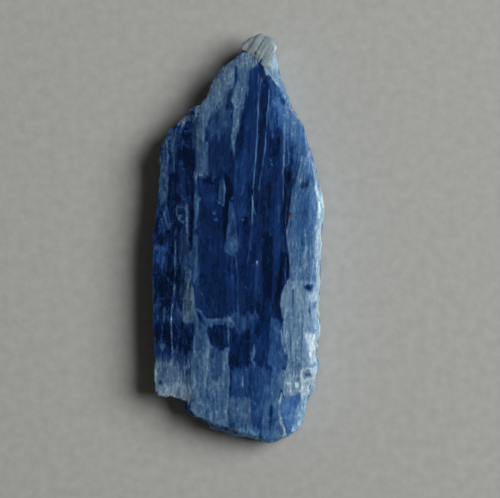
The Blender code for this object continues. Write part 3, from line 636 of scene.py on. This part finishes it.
def segment_distance(at, a, b):
    """Distance of each point from a segment, and how far along it the nearest place is."""
    run = b - a
    share = np.clip(((at - a) @ run) / max(run @ run, 1e-9), 0, 1)
    return np.linalg.norm(at - a - share[:, None] * run, axis=1), share


def patch_distance(at, outline):
    """Signed distance of each point from a closed outline, negative inside."""
    corners = np.asarray(outline, float)
    nearest = np.full(len(at), 1e9)
    inside = np.zeros(len(at), bool)
    for a, b in zip(corners, np.roll(corners, -1, axis=0)):
        nearest = np.minimum(nearest, segment_distance(at, a, b)[0])
        crosses = (a[1] > at[:, 1]) != (b[1] > at[:, 1])
        if a[1] != b[1]:
            edge_x = a[0] + (b[0] - a[0]) * (at[:, 1] - a[1]) / (b[1] - a[1])
            inside ^= crosses & (at[:, 0] < edge_x)
    return np.where(inside, -nearest, nearest)


def stroke_distance(at, points):
    """Distance of each point from a line, and how far along the whole line the nearest place is."""
    corners = np.asarray(points, float)
    nearest, along = np.full(len(at), 1e9), np.zeros(len(at))
    count = len(corners) - 1
    for number in range(count):
        distance, share = segment_distance(at, corners[number], corners[number + 1])
        closer = distance < nearest
        nearest = np.where(closer, distance, nearest)
        along = np.where(closer, (number + share) / count, along)
    return nearest, along


def grain_position(at):
    """How far across the grain each plan point is, in millimetres, where the grain lines run straight."""
    lines = [np.asarray(line, float) for line in GRAIN_LINES]
    here = np.stack([np.interp(at[:, 1], line[:, 1], line[:, 0]) for line in lines])
    home = [float(np.interp(GRAIN_HOME, line[:, 1], line[:, 0])) for line in lines]
    across = np.zeros(len(at))
    for left, right, left_home, right_home in zip(here, here[1:], home, home[1:]):
        within = (at[:, 0] >= left) & (at[:, 0] <= right)
        share = (at[:, 0] - left) / np.maximum(right - left, 0.5)
        across = np.where(within, left_home + share * (right_home - left_home), across)
    return (across - PLAN_MIDDLE[0]) * SQUARE


def lay(values, targets, cover):
    """Paints a target over each of the values, where cover says."""
    for value, target in zip(values, targets):
        value += (target - value) * cover


def torn_shift(grain):
    """How far the edges of markings are torn at each place, in squares."""
    sideways = 0.6 * noise(grain, (0.2, 0.9, 9), 3) + 0.8 * noise(grain, (0.6, 0.8, 9), 4)
    lengthwise = 2.6 * noise(grain, (0.13, 6.0, 9), 41) + 2.4 * noise(grain, (0.4, 2.2, 9), 42)
    return np.stack([sideways, lengthwise], axis=1)


def patched(at, grain, torn):
    """Tone, greyness and fine texture of each plan point under its patches."""
    tone = 0.15 + 0.05 * noise(grain, (0.6, 9, 9), 5) + 0.03 * noise(grain, (1.4, 2.6, 9), 6)
    grey, busy = np.full(len(at), 0.12), np.full(len(at), 0.35)
    fray = noise(grain, (0.13, 0.8, 9), 44)
    for patch in (Patch(*row) for row in PATCHES.values()):
        distance = patch_distance(at + patch.torn * torn, patch.outline) + 0.8 * patch.torn * fray
        cover = patch.cover * smooth(0.5 - distance / patch.soft)
        lay((tone, grey, busy), (patch.tone, patch.grey, patch.busy), cover)
    return tone, grey, busy


def spot(at, middle, radii, soft=0.5):
    """1 at a spot and 0 away from it; radii are its half sizes and soft is the width of its edge."""
    return smooth((1.3 - np.linalg.norm((at - middle) / radii, axis=1)) / soft)


def lined(at, grain, torn, tone, grey, share):
    """Paints the strokes and the flecks over tone and grey, and returns the stain."""
    fade = np.clip(0.85 + 0.7 * noise(grain, (0.5, 1.1, 9), 43), 0.3, 1) * share
    for stroke in (Stroke(*row) for row in STROKES):
        distance, along = stroke_distance(at + (0.9, 0) * torn, stroke.points)
        width = stroke.half_width * (0.6 + 0.4 * np.sin(np.pi * np.clip(along, 0.04, 0.96)))
        cover = stroke.cover * fade * smooth((width + 0.6 - distance) / 0.8)
        lay((tone, grey), (stroke.tone, stroke.grey), cover)
    bent = at + torn * (1.6, 0.5)
    for fleck in (Fleck(*row) for row in FLECKS):
        cover = 0.9 * share * spot(bent, fleck.middle, fleck.radii, 0.6)
        lay((tone, grey), (fleck.tone, fleck.grey), cover)
    return share * np.max([spot(bent, *stain) for stain in STAINS], axis=0)


# ---------------------------------------------------------------- meshes


def placed(name, data):
    """A new object in the scene."""
    made = bpy.data.objects.new(name, data)
    bpy.context.scene.collection.objects.link(made)
    return made


def fine_mesh(name, node, squash, depth):
    """A new piece on an even, fine mesh of a CAD node's shape; squash below 1 makes the cells longer."""
    source = bmesh.new()
    source.from_mesh(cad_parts[node].data)
    bmesh.ops.remove_doubles(source, verts=source.verts, dist=0.002 * MM)
    bmesh.ops.scale(source, vec=squash, verts=source.verts)
    coarse = bpy.data.meshes.new(name + "_coarse")
    source.to_mesh(coarse)
    source.free()
    piece = placed(name, coarse)
    remesh = piece.modifiers.new("remesh", "REMESH")
    remesh.mode = "SHARP"
    remesh.octree_depth = depth
    remesh.scale = 0.88
    remesh.sharpness = 1.0
    remesh.use_remove_disconnected = False
    seen = piece.evaluated_get(bpy.context.evaluated_depsgraph_get())
    fine = bpy.data.meshes.new_from_object(seen)
    piece.modifiers.clear()
    piece.data = fine
    bpy.data.meshes.remove(coarse)
    fine.transform(Matrix.Diagonal([1 / share for share in squash] + [1]))
    return piece


def read(mesh):
    """A mesh's vertices, in millimetres, and their normals."""
    at = np.zeros(len(mesh.vertices) * 3)
    mesh.vertices.foreach_get("co", at)
    facing = np.zeros(len(mesh.vertices) * 3)
    mesh.vertex_normals.foreach_get("vector", facing)
    return at.reshape(-1, 3) / MM, facing.reshape(-1, 3)


def write(mesh, at):
    """Moves a mesh's vertices, given in millimetres."""
    mesh.vertices.foreach_set("co", (at * MM).ravel())
    mesh.update()


LEVEL_CELL = (0.09, 0.25)  # mm, across and along


def spread(grid, reach, pick):
    """A grid with the highest, lowest or mean value in a window around each cell, as pick says."""
    for axis in (0, 1):
        shifted = [np.roll(grid, step, axis) for step in range(-reach[axis], reach[axis] + 1)]
        grid = pick(shifted, axis=0)
    return grid


def blurred(grid, reach):
    """A grid averaged twice over a window around each cell."""
    return spread(spread(grid, reach, np.mean), reach, np.mean)


def sampled(grid, column):
    """A grid's values between its cells, at places given in cells."""
    low = np.floor(column).astype(int)
    part = column - low
    across, along = part[:, 0], part[:, 1]
    i, j = low.T
    near = grid[i, j] * (1 - across) + grid[i + 1, j] * across
    far = grid[i, j + 1] * (1 - across) + grid[i + 1, j + 1] * across
    return near * (1 - along) + far * along


def level(mesh, floor_level, seam, rim, share):
    """Draws the top face toward a face without its seams, except at its rim.

    seam is half the width of the widest seam that is filled and rim the width of what keeps its
    shape, both in grid cells; share is how much of each seam and step goes.
    """
    at, facing = read(mesh)
    column = at[:, :2] / LEVEL_CELL
    column += 3 * np.asarray(seam) - column.min(axis=0)
    size = column.max(axis=0).astype(int) + 3 * np.asarray(seam)
    top = (facing[:, 2] > 0.2) & (at[:, 2] > floor_level)
    heights = np.full(size, -1.0)
    np.maximum.at(heights, tuple(column[top].astype(int).T), at[top, 2])
    heights = np.where(heights < 0, spread(heights, (1, 1), np.max), heights)
    closed = spread(spread(heights, seam, np.max), seam, np.min)
    solid = (heights > 0).astype(float)
    target = blurred(closed * solid, (3, 1)) / np.maximum(blurred(solid, (3, 1)), 1e-6)
    inner = blurred(spread(solid, rim, np.min), (2, 1))
    centred = column - 0.5
    pull = share * sampled(inner, centred) * (at[:, 2] > floor_level) * (facing[:, 2] > -0.2)
    at[:, 2] += pull * (sampled(target, centred) - at[:, 2])
    write(mesh, at)


def relax(mesh, rounds):
    """Draws each vertex halfway toward its neighbours, a number of times."""
    ends = np.zeros(len(mesh.edges) * 2, np.int64)
    mesh.edges.foreach_get("vertices", ends)
    first, second = ends[0::2], ends[1::2]
    at = read(mesh)[0]
    count = np.bincount(ends, minlength=len(at))
    for _ in range(rounds):
        middle = np.empty_like(at)
        for axis in range(3):
            total = np.bincount(first, at[second, axis], len(at))
            middle[:, axis] = (total + np.bincount(second, at[first, axis], len(at))) / count
        at += 0.5 * (middle - at)
    write(mesh, at)


def plan(at):
    """Where places given in millimetres are on the plan, in squares."""
    return np.stack([at[:, 0] / SQUARE + PLAN_MIDDLE[0], PLAN_MIDDLE[1] - at[:, 1] / SQUARE], axis=1)


def nudged(at, nudges):
    """Places in millimetres, moved by the nudges; what is low down isn't raised."""
    on_plan = plan(at)
    high = smooth((at[:, 2] - 1.2) / 1.2)
    for nudge in (Nudge(*row) for row in nudges.values()):
        weight = spot(on_plan, nudge.middle, nudge.radii, 1.0)[:, None]
        across, along, rise = nudge.push
        at = at + weight * np.stack([across + 0 * high, along + 0 * high, rise * high], axis=1)
    return at


def keep(mesh, name, values):
    """Stores a number or a vector for each vertex, for the material to read."""
    kind = "FLOAT" if values.ndim == 1 else "FLOAT_VECTOR"
    layer = mesh.attributes.new(name, kind, "POINT")
    layer.data.foreach_set("value" if values.ndim == 1 else "vector", values.astype(np.float32).ravel())


# ---------------------------------------------------------------- the kyanite

TIP_HEIGHT = 4.10  # mm, of the broad face at the tip
LOW_WALL = 1.4  # mm, below which the walls at the tip keep their shape
LEDGE_TOP = 3.2  # mm, above which a face isn't the foot's ledge
SPLIT_TOP = 2.5  # mm, below which the block is split back
SHARP_ANGLE = math.radians(45)
# Rows and columns of squares where the drop at the tip, the foot's ledge and the paler half of the painted
# glow on the ledge begin.
DROP_ROW, LEDGE_ROW, PALE_LEDGE_COLUMN = 100, 380, 220
# Layers of plates. Each has a height and a cell in millimetres, a seed and the softness of its edges.
FLAT_PLATES = [
    (0.016, (1.1, 9.0, 9), 12, 0.4), (0.010, (0.6, 5.0, 9), 13, 0.5), (0.006, (0.35, 3.0, 9), 14, 0.6),
]
WALL_LAYERS = [(0.05, (0.5, 6.0, 9), 18, 0.12), (0.03, (0.26, 3.0, 9), 19, 0.12)]
WALL_CHIPS = (0.16, (0.55, 0.7, 2.5), 21, 0.25)
SPLINTERS = [(0.12, (0.7, 2.0, 0.8), 22, 0.2), (0.06, (0.4, 0.8, 0.6), 23, 0.2)]
SPLIT_SIDE = [(0.17, (0.8, 2.4, 9), 26, 0.25), (0.10, (0.5, 1.3, 9), 27, 0.25)]
SPLIT_END = [(0.30, (1.2, 1.6, 9), 28, 0.12), (0.16, (0.5, 0.9, 9), 29, 0.15)]

kyanite = fine_mesh("kyanite_blades", "kyanite", squash=(1.0, 0.36, 0.5), depth=8)
level(kyanite.data, floor_level=2.8, seam=(9, 2), rim=(4, 1), share=0.9)
place = nudged(read(kyanite.data)[0], OUTLINE_NUDGES)
# The frosted break slopes down from the broad face, gently and then steeply, and drops at its end.
square = plan(place)
inward = -SQUARE * patch_distance(square, TIP_BREAK)
fall = 0.5 * np.maximum(inward, 0) + 1.5 * np.maximum(inward - 0.35, 0)
fall += 1.6 * smooth((square[:, 1] - DROP_ROW) / 12)
raised = ((inward > 0) | (patch_distance(square, TIP_RIM) < 0)) & (place[:, 2] > LOW_WALL)
place[:, 2] = np.where(raised, np.maximum(place[:, 2], TIP_HEIGHT - fall), place[:, 2])
write(kyanite.data, place)
relax(kyanite.data, 6)
place, facing = read(kyanite.data)
square = plan(place)
grain = np.stack([grain_position(square), place[:, 1], place[:, 2]], axis=1)

up = smooth((facing[:, 2] - 0.35) / 0.4)
down = smooth((-facing[:, 2] - 0.35) / 0.4)
side = 1 - up - down
end = smooth((np.abs(facing[:, 1]) - 0.45) / 0.35) * side
tip_break = smooth(0.5 - patch_distance(square, TIP_WALL) / 1.2) * (1 - down)
ledge = up * smooth((LEDGE_TOP - place[:, 2]) / 0.2) * smooth((square[:, 1] - LEDGE_ROW) / 6)
# the tone of the painted glow on the shaded ledge, paler toward its right
ledge_glow_tone = 0.42 + 0.24 * smooth((square[:, 0] - PALE_LEDGE_COLUMN) / 14)

torn = torn_shift(grain)
tone, grey, busy = patched(square, grain, torn)

# The walls and the underside have layers and frosted breaks of their own.
layers = noise(place, (6.0, 5.0, 0.4), 7) * 0.6 + noise(place, (1.6, 1.8, 0.35), 8) * 0.4
wall_tone = 0.37 + 0.26 * layers + 0.14 * noise(place, (1.8, 2.5, 1.5), 9)
under_tone = 0.26 + 0.12 * noise(grain, (0.5, 8, 9), 10)
under_tone += 0.14 * smooth(noise(grain, (2.2, 6.0, 9), 11) * 2)
mix = side * (1 - tip_break) * (0.35 + 0.4 * np.maximum(end, smooth(-2 * facing[:, 0])))
# Pale places, the painted highlight on the right side among them, keep their tone on the walls.
mix *= 1 - smooth((tone - 0.65) / 0.15) * smooth(place[:, 2] - 1.5)
tone = tone * (1 - mix - down) + wall_tone * mix + under_tone * down
grey = grey * (1 - down) + 0.4 * down
# Painted glow: the foot's ledge and the end walls facing the foot lie in shade, and are made paler.
lay((tone, grey), (ledge_glow_tone, 0.15), 0.8 * ledge + 0.6 * end * (facing[:, 1] < 0))
# Painted light: the steep walls of the frosted break are made a little paler against their shading.
tone += 0.05 * tip_break * side
stain = lined(square, grain, torn, tone, grey, up + 0.7 * side)

# Broken edges of plates are frosted.
worn = smooth((0.985 - facing[:, 2]) / 0.06) * up * smooth((0.34 - tone) / 0.15)
worn *= smooth(patch_distance(square, TIP_BREAK) / 3)
lay((tone, grey), (0.40, 0.2), 0.4 * worn * smooth(0.5 + noise(grain, (0.5, 1.5, 9), 25)))

# Relief: plates and fibres on the faces, layers on the long walls, splinters on the broken ends.
flat_plates = layered_plates(grain, 0.016, *FLAT_PLATES)
frost = smooth((tone - 0.3) / 0.3)
rough = 0.012 * noise(grain, (0.17, 0.5, 0.17), 16) * (0.25 + frost * (1 - 0.6 * tip_break))
layered = np.stack([place[:, 2], place[:, 1] + 0.3 * place[:, 0], place[:, 0]], axis=1)
wall = layered_plates(layered, 0.04, *WALL_LAYERS) + layered_plates(place, 0.10, WALL_CHIPS)
wall += 0.10 * noise(place, (1.0, 1.3, 2.5), 20)
broken = np.stack([grain[:, 0], place[:, 2], place[:, 1]], axis=1)
splinters = layered_plates(broken, 0.08, *SPLINTERS) + 0.05 * noise(place, (0.3, 0.6, 0.25), 24)
# Below its top layer, the block is split back unevenly.
split = layered_plates(layered, 0.27, *SPLIT_SIDE)
split += end * (layered_plates(broken, 0.46, *SPLIT_END) - split)
split *= side * smooth((SPLIT_TOP - place[:, 2]) / 0.4)
shift = (up + down) * flat_plates + rough + side * (1 - end) * wall + end * splinters + split
moved = place + facing * (shift * (1 - 0.6 * tip_break))[:, None]
moved[:, 2] = np.maximum(moved[:, 2], 0.0)
write(kyanite.data, moved)
kyanite.data.shade_smooth()
kyanite.data.set_sharp_from_angle(angle=SHARP_ANGLE)
for name, values in {"tone": tone, "grey": grey, "busy": busy, "stain": stain, "grain": grain}.items():
    keep(kyanite.data, name, values)

# ---------------------------------------------------------------- the grain of matrix

RIDGE_TURN = math.radians(58)  # from X to the ridges of the grain
GRAIN_SHARP_ANGLE = math.radians(50)
DRAWN_COLUMN = 240  # the column of squares from which the grain is drawn over the broad face
DRAWN = (-0.22, -0.36)  # mm, how far it is drawn along X and Y
FROST_COLUMN, FROST_ROW = 273, 42  # squares at which the frost on its lower right corner begins

matrix = fine_mesh("matrix_lump", "matrix_grain", squash=(1.0, 1.0, 1.0), depth=6)
relax(matrix.data, 24)
place = nudged(read(matrix.data)[0], GRAIN_NUDGES)
place[:, 2] += 0.5 * smooth((place[:, 2] - 3.2) / 0.4) * (TIP_HEIGHT - place[:, 2])
# It is drawn over the edge of the broad face and tapers onto it, along the seam between them.
near = smooth(1.25 - SQUARE * stroke_distance(plan(place), GRAIN_SEAM)[0] / 1.1)
near *= smooth((plan(place)[:, 0] - DRAWN_COLUMN) / 14)
place[:, :2] += near[:, None] * DRAWN
inward = -SQUARE * patch_distance(plan(place), GRAIN_BED)
place[:, 2] = np.minimum(place[:, 2], TIP_HEIGHT - 0.01 + 0.32 * inward)
write(matrix.data, place)
relax(matrix.data, 3)
place, facing = read(matrix.data)
cosine, sine = math.cos(RIDGE_TURN), math.sin(RIDGE_TURN)
lengthwise = place[:, 0] * cosine + place[:, 1] * sine
crosswise = place[:, 1] * cosine - place[:, 0] * sine
ridged = np.stack([crosswise, lengthwise, place[:, 2]], axis=1)
shift = 0.025 * noise(ridged, (0.28, 2.4, 9), 31) + 0.02 * noise(ridged, (0.12, 0.7, 9), 32)
shift += 0.022 * plates(ridged, (0.6, 1.6, 0.7), 33, 0.6)
shift += 0.07 * noise(place, (0.9, 0.7, 0.6), 34) * smooth((0.5 - facing[:, 2]) / 0.3)
write(matrix.data, place + facing * shift[:, None])
matrix.data.shade_smooth()
matrix.data.set_sharp_from_angle(angle=GRAIN_SHARP_ANGLE)
square = plan(place)
keep(matrix.data, "grain", ridged)
keep(matrix.data, "tone", smooth(0.5 - patch_distance(square, GRAIN_RIGHT) / 2.0))
frost = smooth((square[:, 0] - FROST_COLUMN) / 2.5) * smooth((square[:, 1] - FROST_ROW) / 6)
keep(matrix.data, "frost", frost)
keep(matrix.data, "stain", spot(square, *GRAIN_STAIN, 1.0))

# ---------------------------------------------------------------- materials


class Surface:
    """A Principled material and short ways to add nodes to it."""

    def __init__(self, name, **settings):
        self.material = bpy.data.materials.new(name)
        self.material.use_nodes = True
        self.tree = self.material.node_tree
        self.shader = self.tree.nodes["Principled BSDF"]
        for socket, value in settings.items():
            self.shader.inputs[socket.replace("_", " ")].default_value = value

    def add(self, kind, inputs=None, **settings):
        """A new node with its settings and inputs."""
        made = self.tree.nodes.new(kind)
        for key, value in settings.items():
            setattr(made, key, value)
        for key, value in (inputs or {}).items():
            self.feed(made.inputs[key], value)
        return made

    def feed(self, socket, value):
        """Gives a socket a link or a plain value."""
        if isinstance(value, bpy.types.NodeSocket):
            self.tree.links.new(value, socket)
        else:
            socket.default_value = value

    def attribute(self, name, output="Fac"):
        return self.add("ShaderNodeAttribute", attribute_name=name).outputs[output]

    def math(self, operation, a, b, c=0.0):
        return self.add("ShaderNodeMath", {0: a, 1: b, 2: c}, operation=operation).outputs[0]

    def at(self, vector, frequency):
        """The vector times a frequency, in cells per millimetre along each axis."""
        return self.add("ShaderNodeVectorMath", {0: vector, 1: frequency}, operation="MULTIPLY").outputs[0]

    def stretched(self, vector, frequency, detail, roughness, distortion=0.0):
        """Noise drawn out along the grain."""
        inputs = {"Vector": self.at(vector, frequency), "Scale": 1.0}
        inputs |= {"Detail": detail, "Roughness": roughness, "Distortion": distortion}
        return self.add("ShaderNodeTexNoise", inputs).outputs["Fac"]

    def swing(self, noise_in, size):
        """Noise turned into a number that swings about zero."""
        return self.math("MULTIPLY", self.math("SUBTRACT", noise_in, 0.5), size)

    def ramp(self, factor, stops):
        """A colour ramp from (position, (r, g, b)) stops, given as albedo."""
        made = self.add("ShaderNodeValToRGB", {"Fac": factor})
        elements = made.color_ramp.elements
        while len(elements) < len(stops):
            elements.new(0.5)
        for element, (position, colour) in zip(elements, stops):
            element.position = position
            element.color = (*colour, 1.0)
        return made.outputs["Color"]

    def between(self, factor, low, high, out_low=0.0, out_high=1.0):
        """A number brought from one range to another, and held within it."""
        inputs = {"Value": factor, "From Min": low, "From Max": high, "To Min": out_low, "To Max": out_high}
        return self.add("ShaderNodeMapRange", inputs).outputs["Result"]

    def mix(self, factor, a, b):
        """Colour a turned into colour b by the factor."""
        made = self.add("ShaderNodeMix", data_type="RGBA")
        sockets = {s.name: s for s in made.inputs if s.type == "RGBA"}
        self.feed(sockets["A"], a)
        self.feed(sockets["B"], b)
        self.feed(made.inputs["Factor"], factor)
        return next(s for s in made.outputs if s.type == "RGBA")

    def use(self, socket, value):
        """Lets a node's output drive the shader."""
        self.tree.links.new(value, self.shader.inputs[socket])


LIGHT = 0.575  # the light that falls on the specimen, as a share of what makes white read as 1


def shown(red, green, blue):
    """The albedo that looks like an 8-bit colour under that light."""
    parts = [value / 255 for value in (red, green, blue)]
    return [(((v + 0.055) / 1.055) ** 2.4 if v > 0.04045 else v / 12.92) / LIGHT for v in parts]


def stops(*rows):
    """Stops of a colour ramp, from rows of a position and an 8-bit colour."""
    return [(position, shown(*colour)) for position, *colour in rows]


BLUES = stops(
    (0.00, 5, 14, 34), (0.10, 8, 22, 54), (0.20, 13, 37, 84), (0.30, 23, 55, 107), (0.40, 40, 78, 127),
    (0.50, 60, 96, 137), (0.60, 84, 116, 148), (0.72, 118, 146, 170), (0.86, 158, 180, 197),
    (1.00, 200, 216, 226),
)
GREYS = stops(
    (0.00, 6, 14, 28), (0.15, 14, 29, 50), (0.30, 34, 54, 80), (0.45, 56, 79, 104),
    (0.60, 80, 102, 125), (0.75, 112, 133, 151), (1.00, 202, 214, 221),
)
STONE_LEFT = stops((0.36, 84, 96, 106), (0.50, 108, 119, 128), (0.64, 130, 142, 149))
STONE_RIGHT = stops((0.36, 92, 106, 110), (0.50, 114, 130, 137), (0.64, 142, 157, 160))
STONE_FROST, STONE_STAIN, RUST = shown(158, 178, 184), shown(76, 62, 58), shown(78, 38, 32)
PAPER = [(0.3, (0.485, 0.50, 0.485)), (0.7, (0.555, 0.57, 0.555))]  # already albedo
# How many cells of split crystal, and specks of dust, there are in a millimetre along each axis.
BLOCKS, CRUMBS, DUST = (1.5, 0.45, 1.5), (3.2, 1.6, 3.2), (1.7, 1.4, 1.7)


def kyanite_surface():
    """Blue glass split by cleavage: dark and smooth where it is whole, pale and rough where it is split."""
    skin = Surface("kyanite_surface", IOR=1.6, Subsurface_Weight=0.6, Subsurface_Scale=2.0 * MM)
    skin.shader.inputs["Subsurface Radius"].default_value = (0.35, 0.6, 1.2)
    skin.shader.inputs["Specular IOR Level"].default_value = 0.25
    skin.shader.inputs["Specular Tint"].default_value = (0.3, 0.65, 1.0, 1.0)
    place_in = skin.attribute("grain", "Vector")
    tone_in = skin.attribute("tone")
    frosted = skin.between(tone_in, 0.15, 0.5)
    fibre = skin.stretched(place_in, (5.0, 0.25, 5.0), 4.0, 0.65)
    cloud = skin.stretched(place_in, (0.9, 0.5, 0.9), 5.0, 0.6, 0.4)
    mottle = skin.stretched(place_in, (3.0, 1.3, 3.0), 5.0, 0.65, 0.5)
    wisp = skin.stretched(place_in, (2.2, 0.45, 2.2), 4.0, 0.6, 0.6)
    grit = skin.stretched(place_in, (7.0, 4.0, 7.0), 4.0, 0.7)
    lively = skin.between(skin.attribute("busy"), 0, 1, 0.45, 1.55)
    calm = skin.math("MULTIPLY", lively, skin.between(tone_in, 0.5, 0.75, 1.0, 0.6))
    total = tone_in
    for source, steady, least, most in (
        (fibre, lively, 0.15, 0.36),
        (cloud, lively, 0.26, 0.26),
        (mottle, calm, 0.12, 0.60),
        (grit, calm, 0.10, 0.30),
    ):
        size = skin.math("MULTIPLY", steady, skin.between(frosted, 0, 1, least, most))
        total = skin.math("ADD", total, skin.swing(source, size))
    dark_streak = skin.math("MULTIPLY", skin.between(wisp, 0.45, 0.32, 0, 0.14), frosted)
    streak = skin.math("SUBTRACT", skin.between(wisp, 0.55, 0.72, 0, 0.15), dark_streak)
    total = skin.math("MULTIPLY_ADD", streak, lively, total)
    warp = skin.add("ShaderNodeTexNoise", {"Vector": place_in, "Scale": 2.0, "Detail": 2.0}).outputs["Color"]

    def cells(at, output, **settings):
        """Voronoi cells: the colour of each, or the distance from its middle or its edge."""
        return skin.add("ShaderNodeTexVoronoi", {"Vector": at, "Scale": 1.0}, **settings).outputs[output]

    def warped(frequency):
        """Places for cells that have crooked edges."""
        inputs = {0: skin.at(place_in, frequency), 1: warp}
        return skin.add("ShaderNodeVectorMath", inputs, operation="ADD").outputs[0]

    block_colour = cells(warped(BLOCKS), "Color")
    block_shade = skin.add("ShaderNodeSeparateColor", {"Color": block_colour}).outputs["Red"]
    total = skin.math("MULTIPLY_ADD", skin.swing(block_shade, 0.10), lively, total)
    crack = cells(warped(BLOCKS), "Distance", feature="DISTANCE_TO_EDGE")
    crackle = cells(warped(CRUMBS), "Distance", feature="DISTANCE_TO_EDGE")
    dust = cells(skin.at(place_in, DUST), "Distance")
    bursting = skin.between(skin.attribute("busy"), 1.0, 1.6)
    for near, width, height, where, strength in (
        (crack, (0.02, 0.05), 0.12, (mottle, 0.48, 0.62), lively),
        (crackle, (0.03, 0.10), 0.26, (grit, 0.50, 0.60), bursting),
        (dust, (0.04, 0.08), 0.26, (cloud, 0.48, 0.58), lively),
    ):
        mark = skin.math("MULTIPLY", skin.between(near, *width, height, 0.0), skin.between(*where))
        total = skin.math("MULTIPLY_ADD", mark, strength, total)
    colour = skin.mix(skin.attribute("grey"), skin.ramp(total, BLUES), skin.ramp(total, GREYS))
    skin.use("Base Color", skin.mix(skin.attribute("stain"), colour, (*RUST, 1.0)))
    skin.use("Roughness", skin.between(total, 0.1, 0.55, 0.24, 0.6))
    height = skin.math("MULTIPLY_ADD", mottle, skin.between(total, 0.2, 0.7, 0.05, 1.2), fibre)
    bump = skin.add("ShaderNodeBump", {"Height": height, "Strength": 0.35, "Distance": 0.03 * MM})
    skin.use("Normal", bump.outputs["Normal"])
    return skin.material


def matrix_surface():
    """Striated rock, grey at the left and grey-green at the right."""
    stone = Surface("matrix_surface", IOR=1.55)
    stone.shader.inputs["Specular IOR Level"].default_value = 0.2
    place_in = stone.attribute("grain", "Vector")
    ridges = stone.stretched(place_in, (3.4, 0.45, 0.6), 4.0, 0.6)
    speckle = stone.stretched(place_in, (7.0, 3.0, 7.0), 3.0, 0.6)
    cloud = stone.stretched(place_in, (1.0, 0.8, 0.5), 2.0, 0.5)
    total = stone.math("MULTIPLY_ADD", speckle, 0.25, stone.math("MULTIPLY", ridges, 0.5))
    total = stone.math("MULTIPLY_ADD", cloud, 0.25, total)
    halves = stone.ramp(total, STONE_LEFT), stone.ramp(total, STONE_RIGHT)
    colour = stone.mix(stone.attribute("tone"), *halves)
    colour = stone.mix(stone.attribute("frost"), colour, (*STONE_FROST, 1.0))
    stone.use("Base Color", stone.mix(stone.attribute("stain"), colour, (*STONE_STAIN, 1.0)))
    stone.use("Roughness", stone.between(speckle, 0.3, 0.7, 0.65, 0.9))
    bump = stone.add("ShaderNodeBump", {"Height": total, "Strength": 0.5, "Distance": 0.06 * MM})
    stone.use("Normal", bump.outputs["Normal"])
    return stone.material


def paper_surface():
    """Pale grey paper with a faint grain."""
    paper = Surface("floor_surface", Roughness=0.9)
    place_in = paper.add("ShaderNodeTexCoord").outputs["Object"]
    fibres = paper.stretched(place_in, (900.0, 900.0, 900.0), 3.0, 0.6)
    paper.use("Base Color", paper.ramp(fibres, PAPER))
    return paper.material


for piece, material in ((kyanite, kyanite_surface()), (matrix, matrix_surface())):
    piece.data.materials.clear()
    piece.data.materials.append(material)

# ---------------------------------------------------------------- the floor, the light and the camera

FLOOR_SIZE = 1.6  # m
WINDOW_PLACE = (0.53, 0.16, 0.50)  # m; the light falls from the right
DAYLIGHT, ROOM_LIGHT = (1.0, 0.99, 0.97), (1.0, 0.88, 0.74, 1.0)
PICTURE_MIDDLE = (1.415 * MM, -1.155 * MM)  # where the camera hangs over the floor
CAMERA_HEIGHT = 279 * MM

bpy.ops.mesh.primitive_plane_add(size=FLOOR_SIZE)
floor = bpy.context.object
floor.name = "floor"
floor.data.materials.append(paper_surface())

light = bpy.data.lights.new("window", "AREA")
light.shape = "SQUARE"
light.size = 0.5
light.energy = 5.4
light.color = DAYLIGHT
window = placed("window", light)
window.location = WINDOW_PLACE
window.rotation_euler = (-window.location).to_track_quat("-Z", "Y").to_euler()

world = bpy.data.worlds.new("room")
bpy.context.scene.world = world
world.use_nodes = True
background = world.node_tree.nodes["Background"]
background.inputs["Color"].default_value = ROOM_LIGHT
background.inputs["Strength"].default_value = 0.045

lens = bpy.data.cameras.new("camera")
lens.lens = 180.0
lens.sensor_width = 36.0
lens.clip_end = 5.0
camera = placed("camera", lens)
camera.location = (*PICTURE_MIDDLE, CAMERA_HEIGHT)
bpy.context.scene.camera = camera
bpy.context.scene.view_settings.view_transform = "Standard"

# ---------------------------------------------------------------- the pieces' places

for piece, node in ((kyanite, "kyanite"), (matrix, "matrix_grain")):
    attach(piece, "root")
    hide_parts(node)
